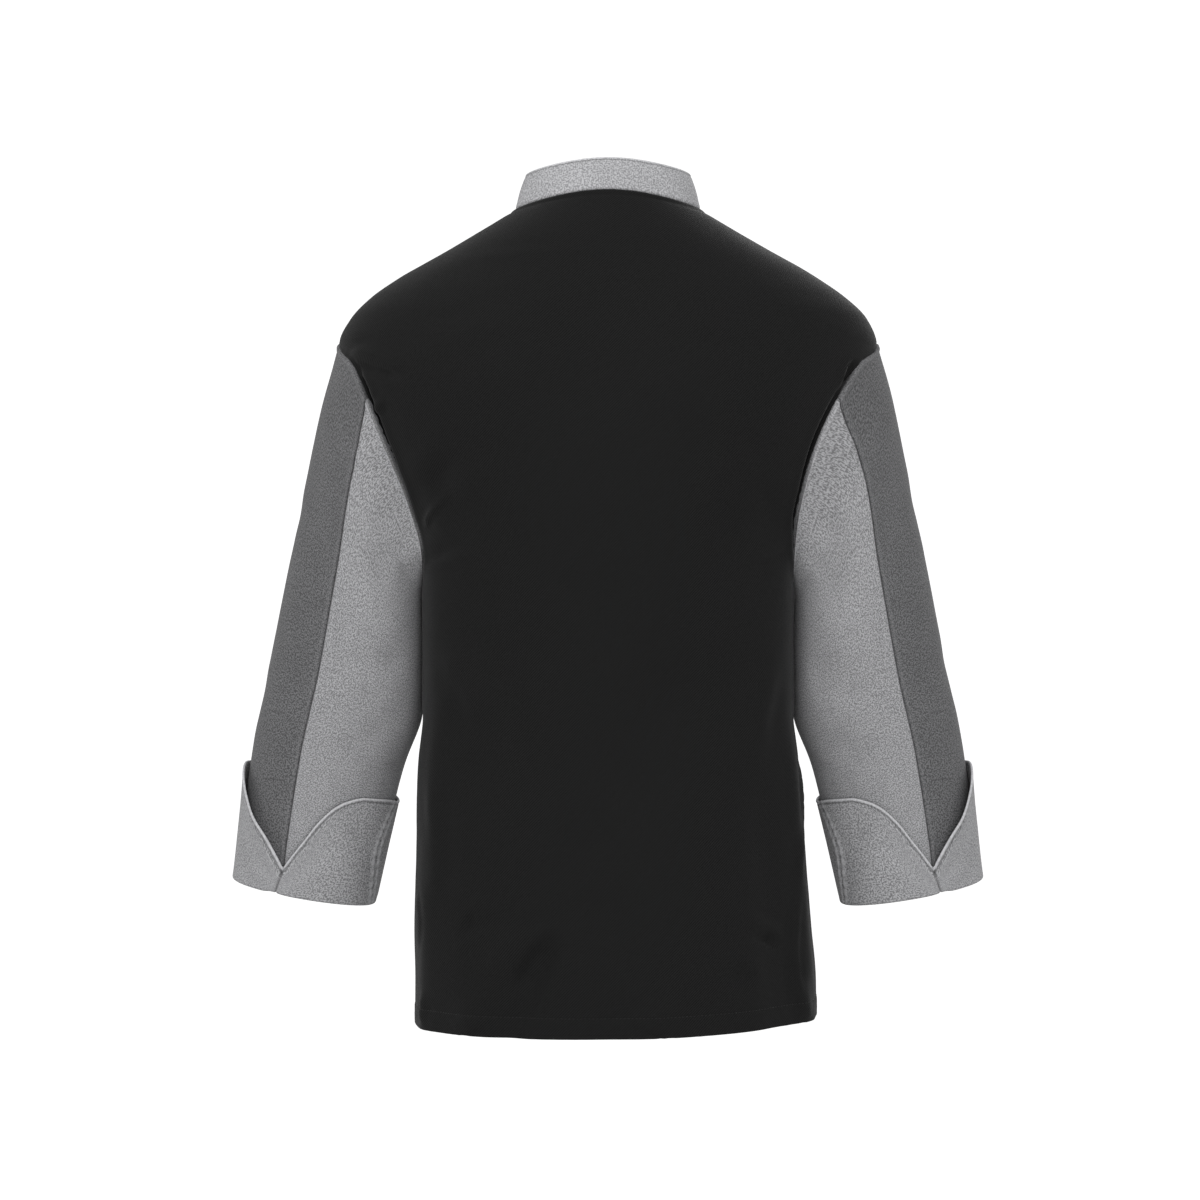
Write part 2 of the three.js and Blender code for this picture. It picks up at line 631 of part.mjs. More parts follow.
// Stand collar: rises from the neck seam and leans in, with rounded front ends
function collarBand() {
  const top = collarTop;
  const from = radians(-90 + collarGapAngle);
  const to = radians(270 - collarGapAngle);
  const grid = [];
  for (let i = 0; i <= collarRowCount; i += 1) grid.push([]);
  for (let j = 0; j <= collarColumns; j += 1) {
    const angle = mix(from, to, j / collarColumns);
    const cosine = Math.cos(angle);
    const sine = Math.sin(angle);
    const depth = sine >= 0 ? top.back : top.front;
    const radius = 1 / Math.hypot(cosine / top.half, sine / depth);
    const fall = top.drop * Math.max(-sine, 0) ** dropPower;
    const lift = top.rise * Math.max(sine, 0) ** 2;
    const topPoint = new THREE.Vector3(radius * cosine, radius * sine, top.level + lift - fall);
    const base = bodyPoint(angle, 0);
    const normal = bodyNormal(angle, 0);
    const seamWay = bodyPoint(angle + turnStep, 0).sub(bodyPoint(angle - turnStep, 0));
    const onward = normal.clone().cross(seamWay).normalize();
    if (onward.z < 0) onward.negate();
    const rise = topPoint.clone().sub(base);
    const start = seamStart(base, normal, onward, rise.clone().normalize(), collarSeamGap);
    const facing = seamWay.clone().cross(rise).normalize();
    const toEnd = ((Math.min(j, collarColumns - j) * (to - from)) / collarColumns) * top.front;
    const short = Math.max(0, collarCorner - toEnd);
    const cut = collarCorner - Math.sqrt(Math.max(0, collarCorner ** 2 - short ** 2));
    const reach = 1 - cut / rise.length();
    for (let i = 0; i <= collarRowCount; i += 1) {
      const part = (i / collarRowCount) * reach;
      const bulge = collarBulge * Math.sin(Math.PI * part);
      const point = start.point.clone().lerp(topPoint, part).addScaledVector(facing, bulge);
      grid[i].push({ point, normal: i === 0 ? start.normal : facing });
    }
  }
  return wallFrom(grid, doubledWall);
}

// Plain flat button with a rounded rim, its back on the cloth
function buttonShape() {
  const rim = buttonThickness * 0.35;
  const profile = [
    new THREE.Vector2(0, 0),
    new THREE.Vector2(buttonRadius - rim, 0),
    new THREE.Vector2(buttonRadius, rim),
    new THREE.Vector2(buttonRadius, buttonThickness - rim),
    new THREE.Vector2(buttonRadius - rim, buttonThickness),
    new THREE.Vector2(0, buttonThickness),
  ];
  const geometry = new THREE.LatheGeometry(profile, 14);
  geometry.rotateX(Math.PI / 2);
  return geometry;
}

const finishes = {
  black: { color: 0x1f1f1f, roughness: 0.85, metalness: 0 },
  darkGrey: { color: 0x676769, roughness: 0.9, metalness: 0 },
  lightGrey: { color: 0x999a9c, roughness: 0.9, metalness: 0 },
  collarGrey: { color: 0xaeaeb0, roughness: 0.9, metalness: 0 },
  button: { color: 0x1a1a1a, roughness: 0.4, metalness: 0 },
};

const jacket = new THREE.Group();

function addPiece(name, geometry, finish) {
  const mesh = new THREE.Mesh(geometry, new THREE.MeshStandardMaterial(finishes[finish]));
  mesh.name = name;
  jacket.add(mesh);
  return mesh;
}

addPiece("back", backPanel(), "black");
addPiece("front_left", frontLeftPanel(), "black");
addPiece("front_right", frontRightPanel(), "black");
addPiece("collar", collarBand(), "collarGrey");
for (const side of ["left", "right"]) {
  const place = (geometry) => (side === "left" ? geometry : mirrored(geometry));
  addPiece(`sleeve_top_${side}`, place(stripPanel(side)), "darkGrey");
  addPiece(`sleeve_under_${side}`, place(underSleevePanel(side)), "lightGrey");
  addPiece(`cuff_outer_${side}`, place(outerCuff(side)), "lightGrey");
  addPiece(`cuff_inner_${side}`, place(innerCuff(side)), "lightGrey");
}
for (let i = 0; i < buttonCount; i += 1) {
  const level = mix(topButtonLevel, lowButtonLevel, i / (buttonCount - 1));
  const angle = frontEdgeAngle(level, buttonX);
  const spot = bodySpot(angle, level, 0);
  const button = addPiece(`button_${i + 1}`, buttonShape(), "button");
  button.position.copy(spot.point).addScaledVector(spot.normal, buttonStand);
  button.quaternion.setFromUnitVectors(new THREE.Vector3(0, 0, 1), spot.normal);
}

export default jacket;
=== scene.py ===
import math

import bpy
import numpy as np
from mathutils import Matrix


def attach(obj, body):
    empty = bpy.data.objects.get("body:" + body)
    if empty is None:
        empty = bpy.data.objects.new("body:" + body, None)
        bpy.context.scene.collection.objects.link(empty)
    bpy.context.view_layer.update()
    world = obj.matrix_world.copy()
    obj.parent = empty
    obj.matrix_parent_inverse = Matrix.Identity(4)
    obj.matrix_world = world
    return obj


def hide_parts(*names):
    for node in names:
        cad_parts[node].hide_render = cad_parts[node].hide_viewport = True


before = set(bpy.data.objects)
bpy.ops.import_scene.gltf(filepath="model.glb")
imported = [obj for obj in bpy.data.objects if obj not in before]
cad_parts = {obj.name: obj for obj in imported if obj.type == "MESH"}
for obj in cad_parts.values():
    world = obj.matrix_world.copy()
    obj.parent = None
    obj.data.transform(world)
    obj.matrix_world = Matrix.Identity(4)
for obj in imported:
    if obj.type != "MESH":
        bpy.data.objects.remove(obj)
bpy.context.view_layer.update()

# Chef jacket, filled out as if worn. Surfaces are worked out in millimetres, with the wearer facing
# -Y and the wearer's left at +X, and become metres when a mesh is made.
MM = 0.001

# Body: heights of its seams, and the armhole between the underarm and the shoulder tip
HEM = -727
UNDERARM = -336
SHOULDER_TIP = -118
SEAM_Y = -8
ARMHOLE_END_RADIUS = 62
ARMHOLE_FRONT_CUT = 8
RIGHT_HEM_LIFT = 8
HEM_LIFT_START = -620
DROP_POWER = 1.6

# How deep the rows of a sleeve's edge lie that is turned inwards at the armhole
SEAM_ALLOWANCE = (7, 4.5, 2)

# Body cloth that swells beside the sleeve, so that no light falls between them
SIDE_SWELL = 1.4

# Closing of the fronts
FLAP_EDGE_X = -66
UNDER_EDGE_X = 52
PRESS_EASE = 50
PRESS_MARGIN = 12
PRESSED_DEPTH = 3

# Cloth: one layer, a turned edge, and the doubled cloth of the collar and cuffs
CLOTH = 0.9
TURNED_EDGE = 1.9
DOUBLED = 1.9
HEM_TURN = 17
FRONT_TURN = 34
FRONT_STITCH_INSET = 6

# Sleeves and cuffs
SLEEVE_LENGTH = 500
NOTCH_TURN = 76
NOTCH_BOTTOM = 21
CUFF_SEAM_LEAN = 4
CUFF_SEAM_LEAN_REACH = 14
CUFF_WALL = 2.4
CUFF_STAND_AT_FOLD = 0.7
CUFF_STAND_AT_EDGE = 1.7
CUFF_STITCH_INSET = 2.6
CUFF_EDGE_ROWS = (0, 0.5, 1.0, 1.6, 2.1, CUFF_STITCH_INSET, 3.1, 3.7, 4.6, 6.0)
CUFF_LOW_ROWS = 37

# The cuff's fold at the wrist: how far it drops, its rows, and the cloth that runs back inside
LIP_RADIUS = 2.9
LIP_STEPS = 9
INSIDE_RUN = 14
CUFF_INSIDE = -3.0

# Where the underarm seam of the cuff lies: part of the height, turn in degrees
CUFF_SEAM_LINE = ((0, 162), (0.25, 157), (0.5, 153), (0.8, 159), (1, 166))

# How far each flap's top edge springs away from the sleeve: by how much, at which turn, how widely
OUTER_FLAP_SPRING = (8, 46, 30)
INNER_FLAP_SPRING = (3, 96, 26)

# Collar: its top line and its rounded front ends
COLLAR_TOP = {"half": 74, "back": 61, "front": 71, "level": 32, "rise": 8, "drop": 68}
COLLAR_TALL = 40
COLLAR_BULGE = 1.2
COLLAR_GAP_ANGLE = 3
COLLAR_CORNER = 13
COLLAR_STITCH_INSET = 2.2

# Buttons
BUTTON_COUNT = 6
BUTTON_X = FLAP_EDGE_X + 16
TOP_BUTTON_LEVEL = -50
LOW_BUTTON_LEVEL = -620
BUTTON_RADIUS = 8.5
BUTTON_THICKNESS = 3.2

# Body rings from the hem up to the neck: height, half widths on the wearer's left and right,
# depths of the back and front, superellipse power, and how far the back rises and the front falls
RING_COLUMNS = ("level", "left", "right", "back", "front", "square", "rise", "drop")
BODY_RINGS = (
    (-727, 173, 187, 134, 122, 2.5, 0, 0),
    (-690, 173, 186, 133, 121, 2.5, 0, 0),
    (-640, 174, 182, 130, 119, 2.5, 0, 0),
    (-560, 172, 176, 125, 115, 2.45, 0, 0),
    (-490, 169.5, 170.5, 120, 113, 2.4, 0, 0),
    (-450, 166, 166, 119, 113.5, 2.4, 0, 0),
    (-400, 165.3, 165.3, 119, 115, 2.35, 0, 0),
    (-360, 165.7, 165.7, 121, 118, 2.32, 0, 0),
    (-336, 166.4, 166.4, 122.6, 120.5, 2.3, 0, 0),
    (-315, 168.6, 168.6, 124, 122.5, 2.29, 0, 0),
    (-292, 173.5, 173.5, 125.6, 124.8, 2.27, 0, 0),
    (-255, 189, 189, 128, 128, 2.24, 0, 0),
    (-205, 219, 219, 129, 129, 2.2, 0, 1),
    (-165, 238, 238, 128, 129, 2.16, 0, 4),
    (-138, 244, 244, 126, 127, 2.13, 0, 9),
    (-118, 241.5, 241.5, 123.5, 125, 2.1, 0, 14),
    (-98, 231, 232.5, 120, 122, 2.1, 0, 22),
    (-80, 213.5, 214.5, 115, 118, 2.05, 0, 31),
    (-62, 188.5, 189, 108, 113, 2, 0, 41),
    (-35, 142, 142, 94, 103, 2, 4, 56),
    (-17, 111.5, 111.5, 81, 94, 2, 8, 66),
    (0, 83, 83, 68, 84, 2, 11, 75),
)

# Where the armhole seams lie sideways at each height on the back: height, left side, right side
ARMHOLE_LINE = (
    (-336, 165, 165),
    (-310, 166.5, 165),
    (-284, 171.5, 166.5),
    (-257, 179.5, 171),
    (-231, 190, 177.5),
    (-205, 201, 187),
    (-178, 212, 200),
    (-151, 223, 216),
    (-118, 241, 241),
)

# Sleeve sections: part of the length, the outer and inner points seen from behind, the middle and
# half depth along Y, and how far the section's back lies lower than its middle
SECTION_COLUMNS = ("along", "out_x", "out_z", "in_x", "in_z", "middle_y", "depth", "sag")
SLEEVE_SECTIONS = (
    (0.14, 258.5, -175, 167.6, -352, -13, 64, 0),
    (0.36, 281, -282, 167, -388, -18, 67, 1),
    (0.58, 304, -395, 167.6, -449, -25, 68, 1),
    (0.76, 321.8, -479, 186, -503, -31, 67, 1),
    (1, 339.2, -601, 214.8, -624, -42, 66, 1),
)

# Half of the overarm strip's turn round the sleeve in degrees, by the part of the sleeve's length
STRIP_SEAM = (
    (0, 60),
    (0.05, 65),
    (0.14, 72.3),
    (0.3, 73),
    (0.58, 71),
    (0.8, 72.5),
    (0.93, 73.5),
    (1, 76.5),
)

# Height of the cuff's top edge above its fold, by the turn away from the notch in degrees
OUTER_FLAP_EDGE = (
    (0, 21),
    (8, 33.5),
    (16, 45),
    (28, 59),
    (40, 76),
    (52, 89),
    (65, 98),
    (80, 101),
    (152, 100),
)
INNER_FLAP_EDGE = (
    (0, 21),
    (6, 34),
    (13, 48.5),
    (18, 60),
    (24, 70.5),
    (30, 78.5),
    (39, 85),
    (52, 89),
    (75, 88.5),
    (100, 86.5),
    (125, 88.5),
    (208, 100),
)

# Largest folds of the body: turn round the body at the top and bottom in degrees, heights of both
# ends, width across the fold and height outwards
FOLD_LEVER_ARM = 150
FOLD_START = 0.35
FOLD_RUN_OUT = 1.3
BODY_FOLDS = (
    ("right side fold", 163, 161, -430, -735, 26, 4),
    ("hollow beside it", 146, 148, -470, -730, 34, -4),
    ("low diagonal trough", 72, 54, -630, -735, 28, -5),
    ("low middle hollow", 96, 92, -560, -735, 60, -3),
    ("left back hollow", 42, 55, -300, -470, 36, -4),
    ("left side fold", 24, 22, -400, -735, 30, 3),
    ("front hem, left", 312, 316, -560, -735, 40, -4),
    ("front hem, right", 222, 216, -520, -735, 42, -4),
    ("chest fold, left", 318, 300, -260, -420, 40, -4),
    ("chest fold, right", 214, 223, -270, -430, 38, -4),
)

# Creases of the body: side, places of the start, middle and end as (x, z) seen from that side's
# own plane, width and height, and how much wider one flank is than the other
BODY_CREASES = (
    ("left armhole ridge", "back", (229, -130), (206, -136), (174, -150), 5, 2.8, 0.2),
    ("crease under that ridge", "back", (228, -142), (206, -148), (176, -157), 4, -3.6, -0.2),
    ("ridge at the left armhole", "back", (209, -187), (203, -180), (196, -171), 3.5, 1.8, 0),
    ("right armhole crease", "back", (-219, -136), (-212, -152), (-206, -178), 4.5, -3.6, 0.3),
    ("small ridge, left underarm", "back", (163, -288), (152, -271), (136, -254), 3, 2, 0.3),
    ("trough beside that ridge", "back", (172, -262), (152, -246), (126, -222), 12, -2, 0),
    ("second left underarm fold", "back", (165, -318), (146, -309), (118, -304), 6, -1.8, 0.3),
    ("left shoulder blade slant", "back", (158, -228), (128, -280), (76, -338), 15, -2.7, 0.3),
    ("right underarm shade", "back", (-166, -250), (-126, -290), (-70, -300), 34, -4.4, 0),
    ("right underarm fold", "back", (-166, -306), (-142, -316), (-116, -336), 7, -1.6, 0.2),
    ("hollow between the blades", "back", (14, -42), (18, -130), (10, -240), 36, -4.1, 0),
    ("left blade swell", "back", (118, -92), (106, -150), (88, -222), 56, 3.7, 0),
    ("right blade swell", "back", (-112, -92), (-106, -150), (-90, -222), 56, 3.7, 0),
    ("pressed line over the shoulders", "back", (150, -52), (40, -47), (-78, -52), 5, 0.7, 0),
    ("long slant to the low back", "back", (-80, -372), (-42, -462), (16, -556), 42, -5.1, 0),
    ("low back fold", "back", (36, -520), (22, -592), (38, -664), 30, -3.4, 0.2),
    ("waist fold, left", "back", (150, -392), (124, -424), (104, -470), 13, 2.2, 0.2),
    ("waist slant, left", "back", (146, -430), (118, -484), (98, -556), 16, -2.4, 0),
    ("waist fold, right", "back", (-154, -402), (-134, -452), (-128, -520), 12, 2, -0.2),
    ("left side ripple", "back", (158, -506), (151, -560), (154, -622), 9, 2.2, 0),
    ("diagonal trough to the hem", "back", (42, -634), (64, -662), (83, -696), 9, -3.7, 0.2),
    ("swell beside that trough", "back", (66, -626), (88, -652), (104, -690), 12, 2, 0),
    ("dimple, low left", "back", (128, -629), (119, -634), (110, -642), 10, -3.1, 0),
    ("dimple, low right", "back", (-108, -674), (-117, -679), (-127, -688), 9, -2.7, 0),
    ("short crease, low right", "back", (-124, -645), (-138, -647), (-152, -658), 4.5, -3, 0.4),
    ("swell over the short crease", "back", (-118, -632), (-136, -634), (-154, -646), 6, 1.4, 0),
    ("right side ridge, upper", "back", (-174, -470), (-173, -545), (-170, -620), 5, 2.4, -0.5),
    ("right side ridge, lower", "back", (-171, -606), (-166, -655), (-170, -705), 4.5, 3.2, -0.5),
    ("hem flare, right", "back", (-168, -676), (-172, -700), (-178, -730), 8, 2.4, 0),
    ("curl at the left corner", "back", (160, -694), (164, -712), (160, -730), 6, 1.8, 0),
    ("crease by the left side seam", "back", (170, -610), (167, -634), (170, -664), 3.5, 2.2, 0.3),
    ("hem ripple, left", "back", (118, -694), (122, -712), (120, -732), 13, 1.9, 0),
    ("hem ripple, right", "back", (-40, -690), (-44, -710), (-42, -732), 18, 2, 0),
    ("left armhole fold, front", "front", (214, -150), (196, -168), (170, -180), 6, 2.7, 0.2),
    ("crease under that fold", "front", (206, -170), (190, -186), (158, -200), 6, -3, 0),
    ("left chest slant", "front", (172, -246), (140, -270), (92, -278), 9, 2.4, 0.3),
    ("left chest trough", "front", (168, -268), (136, -294), (84, -306), 9, -2.4, 0),
    ("left underarm, front", "front", (164, -318), (140, -332), (112, -352), 7, -1.9, 0.2),
    ("right armhole fold, front", "front", (-212, -158), (-190, -172), (-160, -182), 6, 2.8, 0),
    ("right armhole trough, front", "front", (-204, -178), (-180, -196), (-150, -202), 7, -2.7, 0.2),
    ("right chest slant", "front", (-168, -256), (-136, -272), (-98, -276), 9, 2, 0),
    ("right underarm, front", "front", (-166, -322), (-144, -330), (-118, -346), 7, -1.8, 0),
    ("pull to the second button", "front", (-40, -166), (10, -176), (78, -196), 8, 1.5, 0),
    ("pull to the third button", "front", (-42, -276), (4, -286), (58, -304), 8, -1.4, 0.2),
    ("pull to the fourth button", "front", (-40, -392), (18, -400), (80, -418), 9, 1.4, 0),
    ("waist slant, front left", "front", (146, -402), (110, -456), (82, -530), 14, -2.2, 0),
    ("waist fold, front left", "front", (132, -420), (96, -486), (66, -560), 12, 1.9, 0.2),
    ("waist slant, front right", "front", (-150, -396), (-124, -440), (-104, -510), 14, -2, 0),
    ("low fold, front left", "front", (102, -566), (92, -640), (98, -724), 16, 2.4, 0.2),
    ("low fold, front middle", "front", (26, -600), (20, -660), (24, -728), 22, -2.4, 0),
    ("low fold, front right", "front", (-116, -560), (-124, -640), (-118, -726), 15, 2.4, 0),
    ("short crease, front left", "front", (126, -640), (114, -650), (98, -660), 5, -2.2, 0.3),
    ("short crease, front right", "front", (-128, -608), (-142, -616), (-152, -630), 5, -2.2, 0),
)

# How deep the body dips beside the armhole seam, by the turn from the shoulder tip (0 degrees) over
# the back to the underarm (180), on both sides, and on the fronts
ARMHOLE_DIP_LEFT = ((0, 0.4), (35, 0.8), (52, 4), (65, 8.5), (100, 10), (122, 7), (150, 2), (180, 0.5))
ARMHOLE_DIP_RIGHT = ((0, 0.3), (45, 0.6), (62, 3), (78, 4), (100, 6), (130, 6.5), (152, 3), (180, 0.5))
ARMHOLE_DIP_FRONT = ((0, 0.5), (45, 1.2), (75, 3), (100, 4), (130, 3), (155, 1.5), (180, 0.5))

# Creases of the sleeves: places as (turn in degrees, part of the length), with the turn 0 outermost
# and 90 at the back, then width and height
SLEEVE_CREASES = {
    "left": (
        ("cap fold, back", (84, 0.0), (76, 0.07), (64, 0.15), 7, 1.5),
        ("cap shade, back", (112, 0.0), (104, 0.1), (92, 0.2), 11, -1.8),
        ("underarm fold, back", (138, 0.02), (128, 0.12), (116, 0.25), 8, 1.3),
        ("upper slant, back", (126, 0.2), (98, 0.3), (70, 0.37), 15, -1.2),
        ("elbow hollow, back", (150, 0.44), (112, 0.5), (74, 0.55), 14, -1.4),
        ("elbow swell, back", (146, 0.5), (108, 0.57), (80, 0.63), 12, 1.2),
        ("forearm slant, back", (150, 0.6), (122, 0.68), (96, 0.74), 12, -1.2),
        ("outer dip", (12, 0.3), (2, 0.36), (-14, 0.41), 16, -1),
        ("outer dip, lower", (20, 0.62), (4, 0.67), (-16, 0.7), 15, -1),
        ("cap fold, front", (-80, 0.0), (-72, 0.08), (-58, 0.16), 8, 1.6),
        ("cap crease, front", (-104, 0.0), (-92, 0.1), (-78, 0.2), 9, -1.8),
        ("underarm fold, front", (-136, 0.03), (-122, 0.13), (-108, 0.24), 9, 1.4),
        ("elbow crease, front", (-150, 0.4), (-110, 0.43), (-66, 0.4), 8, -2.2),
        ("elbow fold, front", (-146, 0.47), (-112, 0.5), (-74, 0.49), 9, 2),
        ("elbow crease, lower", (-150, 0.54), (-118, 0.57), (-84, 0.57), 8, -1.8),
        ("forearm fold, front", (-140, 0.62), (-112, 0.68), (-82, 0.73), 11, 1.4),
    ),
    "right": (
        ("cap fold, back", (80, 0.0), (70, 0.08), (60, 0.17), 8, 1.3),
        ("cap shade, back", (118, 0.0), (108, 0.12), (98, 0.24), 12, -2),
        ("underarm fold, back", (142, 0.03), (134, 0.14), (124, 0.3), 8, 1.2),
        ("upper slant, back", (132, 0.26), (104, 0.34), (78, 0.4), 14, -1.2),
        ("elbow hollow, back", (148, 0.48), (116, 0.53), (80, 0.6), 15, -1.3),
        ("elbow swell, back", (150, 0.56), (116, 0.62), (84, 0.68), 12, 1.1),
        ("forearm slant, back", (148, 0.66), (124, 0.72), (100, 0.76), 11, -1.1),
        ("outer dip", (16, 0.26), (2, 0.33), (-12, 0.38), 16, -1),
        ("outer dip, lower", (18, 0.56), (0, 0.62), (-18, 0.64), 15, -1),
        ("cap fold, front", (-84, 0.0), (-74, 0.07), (-62, 0.15), 7, 1.5),
        ("cap crease, front", (-110, 0.0), (-98, 0.12), (-82, 0.22), 9, -1.7),
        ("underarm fold, front", (-140, 0.04), (-126, 0.14), (-110, 0.27), 9, 1.3),
        ("elbow crease, front", (-148, 0.42), (-108, 0.46), (-70, 0.44), 8, -2),
        ("elbow fold, front", (-150, 0.49), (-114, 0.53), (-76, 0.52), 9, 1.9),
        ("elbow crease, lower", (-146, 0.57), (-114, 0.61), (-86, 0.6), 8, -1.7),
        ("forearm fold, front", (-144, 0.64), (-116, 0.7), (-88, 0.76), 10, 1.3),
    ),
}

# Rough widths of the pieces, over which their grids are spread
BACK_ACROSS = 470
LEFT_FRONT_ACROSS = 300
RIGHT_FRONT_ACROSS = 245
STRIP_ACROSS = 160
UNDER_SLEEVE_ACROSS = 270
OUTER_FLAP_ACROSS = 165
INNER_FLAP_ACROSS = 255
COLLAR_ACROSS = 430

# Grid spacing in the cloth of the body and the sleeves, and the finer steps beside an edge
BODY_STEP = 3.3
GRID_STEP = 2.8
EDGE_STEPS = (0, 0.5, 1.0, 1.6, 2.3, 3.1, 4.1, 5.4, 7.0, 9.0, 11.5)


# Curves and small helpers


def clamp01(value):
    return np.clip(value, 0, 1)


def mix(start, end, part):
    return start + (end - start) * part


def smooth_step(start, end, value):
    part = clamp01((value - start) / (end - start))
    return part * part * (3 - 2 * part)


def bump(away, width):
    """A soft bell of height 1."""
    return np.exp(-((away / width) ** 2))


def unit(vectors):
    return vectors / np.maximum(np.linalg.norm(vectors, axis=-1, keepdims=True), 1e-9)


def wrap(angle):
    return np.arctan2(np.sin(angle), np.cos(angle))


def gentle_slope(before, after):
    """A slope between two others that keeps a curve from overshooting."""
    total = before + after
    safe = np.where(np.abs(total) < 1e-12, 1, total)
    return np.where(before * after <= 0, 0, 2 * before * after / safe)


def hermite(part, step, start, start_slope, end, end_slope):
    square = part * part
    cube = square * part
    return (
        (2 * cube - 3 * square + 1) * start
        + (cube - 2 * square + part) * step * start_slope
        + (3 * square - 2 * cube) * end
        + (cube - square) * step * end_slope
    )


def curve_through(points):
    """A smooth curve through (place, value) pairs that never overshoots them."""
    places, values = np.array(points, float).T
    slopes = np.diff(values) / np.diff(places)
    tangents = gentle_slope(np.r_[slopes[:1], slopes], np.r_[slopes, slopes[-1:]])

    def curve(place):
        i = np.clip(np.searchsorted(places, place, side="left") - 1, 0, len(places) - 2)
        step = places[i + 1] - places[i]
        part = clamp01((place - places[i]) / step)
        return hermite(part, step, values[i], tangents[i], values[i + 1], tangents[i + 1])

    return curve


def table_curves(rows, columns):
    """One curve for each column of a table, by the table's first column."""
    return {
        name: curve_through([(row[0], row[i]) for row in rows])
        for i, name in enumerate(columns)
        if i
    }


def lengths_along(points):
    """How far each point of a line lies from its start."""
    steps = np.linalg.norm(np.diff(points, axis=0), axis=-1)
    return np.r_[0, np.cumsum(steps)]


def edge_spaced(length, start_fine=True, end_fine=True, extra=(), spacing=GRID_STEP):
    """Places from 0 to length: fine beside the ends and any extra places, and even between."""
    fine = np.array(EDGE_STEPS)
    places = [0.0, float(length)]
    if start_fine:
        places += list(fine)
    if end_fine:
        places += list(length - fine)
    for middle in extra:
        places += [middle + offset for offset in (-2, -1.2, -0.6, 0, 0.6, 1.2, 2)]
    places = np.unique(np.round([place for place in places if 0 <= place <= length], 3))
    filled = [places[:1]]
    for low, high in zip(places[:-1], places[1:]):
        count = max(1, round((high - low) / spacing))
        filled.append(np.linspace(low, high, count + 1)[1:])
    return np.concatenate(filled)


ring = table_curves(BODY_RINGS, RING_COLUMNS)
armhole_x = table_curves(ARMHOLE_LINE, ("level", "left", "right"))
strip_half = curve_through(STRIP_SEAM)
outer_flap_edge = curve_through(OUTER_FLAP_EDGE)
inner_flap_edge = curve_through(INNER_FLAP_EDGE)


# The body's surface


def fold_height(angle, level):
    """How far the body's large folds stand out at a point."""
    turn = (np.degrees(angle) + 360) % 360
    height = 0
    for _, top_turn, bottom_turn, top, bottom, width, rise in BODY_FOLDS:
        along = (level - top) / (bottom - top)
        away = np.radians(turn - mix(top_turn, bottom_turn, along)) * FOLD_LEVER_ARM
        fade = smooth_step(0, FOLD_START, along) * (1 - smooth_step(1, FOLD_RUN_OUT, along))
        height = height + rise * fade * bump(away, width / 2)
    return height


def quarter(level, on_back, on_left):
    """Half width, depth and power of a body ring on one of its four quarters."""
    half = np.where(on_left, ring["left"](level), ring["right"](level))
    depth = np.where(on_back, ring["back"](level), ring["front"](level))
    return half, depth, ring["square"](level)


def body_point(angle, level):
    """A point of the body's outer surface. Angle 0 is the wearer's left, 90 degrees the back."""
    cosine, sine = np.cos(angle), np.sin(angle)
    half, depth, power = quarter(level, sine >= 0, cosine >= 0)
    reach = (np.abs(cosine) / half) ** power + (np.abs(sine) / depth) ** power
    radius = reach ** (-1 / power) + fold_height(angle, level)
    lift = ring["rise"](level) * np.maximum(sine, 0) ** 2
    fall = ring["drop"](level) * np.maximum(-sine, 0) ** DROP_POWER
    turned_up = RIGHT_HEM_LIFT * np.minimum(cosine, 0) ** 2 * smooth_step(HEM_LIFT_START, HEM, level)
    return np.stack([radius * cosine, radius * sine, level + lift - fall + turned_up], -1)


def angle_at_depth(level, y, on_left):
    """The angle at which a ring reaches a depth y."""
    half, depth, power = quarter(level, y >= 0, on_left)
    x = half * np.maximum(0, 1 - (np.abs(y) / depth) ** power) ** (1 / power)
    return np.where(on_left, np.arctan2(y, x), np.pi - np.arctan2(y, x))


def angle_at_x(level, x, on_back):
    """The angle at which a ring's back or front reaches a sideways place x."""
    angle = np.full(np.shape(level + x), 0.5 * np.pi if on_back else 1.5 * np.pi)
    for _ in range(14):
        point = body_point(angle, level)
        step = (point[..., 0] - x) / np.hypot(point[..., 0], point[..., 1])
        angle = angle + (step if on_back else -step)
    return angle


def armhole_level(climb):
    """Height of the armhole, by a climb of -1 at the underarm to 1 at the shoulder tip."""
    return mix(UNDERARM, SHOULDER_TIP, (1 + climb) / 2)


def armhole_depth(level, on_back, side):
    """Depth of a side's armhole: round at both ends, between them where the ring reaches its line."""
    half, depth, power = quarter(level, on_back, True)
    climb = (2 * level - UNDERARM - SHOULDER_TIP) / (SHOULDER_TIP - UNDERARM)
    across = np.sqrt(np.maximum(0, 1 - climb**2))
    way = np.where(on_back, 1, -1)
    round_end = SEAM_Y + way * ARMHOLE_END_RADIUS * across
    x = armhole_x[side](level) - np.where(on_back, 0, ARMHOLE_FRONT_CUT * across)
    reach = depth * np.maximum(0, 1 - (x / half) ** power) ** (1 / power)
    between = smooth_step(-0.8, -0.4, climb) * (1 - smooth_step(0.8, 1, climb))
    return mix(round_end, way * reach, between)


def armhole_point(turn, side):
    """A point of an armhole, by the turn round the sleeve: 0 outermost, 90 degrees behind. The right
    one is worked out on the wearer's left too, and mirrored later."""
    level = armhole_level(np.cos(turn))
    return body_point(angle_at_depth(level, armhole_depth(level, turn >= 0, side), True), level)


def armhole_normal(turn, side):
    """The body's outward direction at a point of an armhole."""
    turn = wrap(turn)
    level = armhole_level(np.cos(turn))
    angle = angle_at_depth(level, armhole_depth(level, turn >= 0, side), True)
    around = body_point(angle + 0.01, level) - body_point(angle - 0.01, level)
    return unit(np.cross(around, body_point(angle, level + 1) - body_point(angle, level - 1)))


# The sleeves' surface


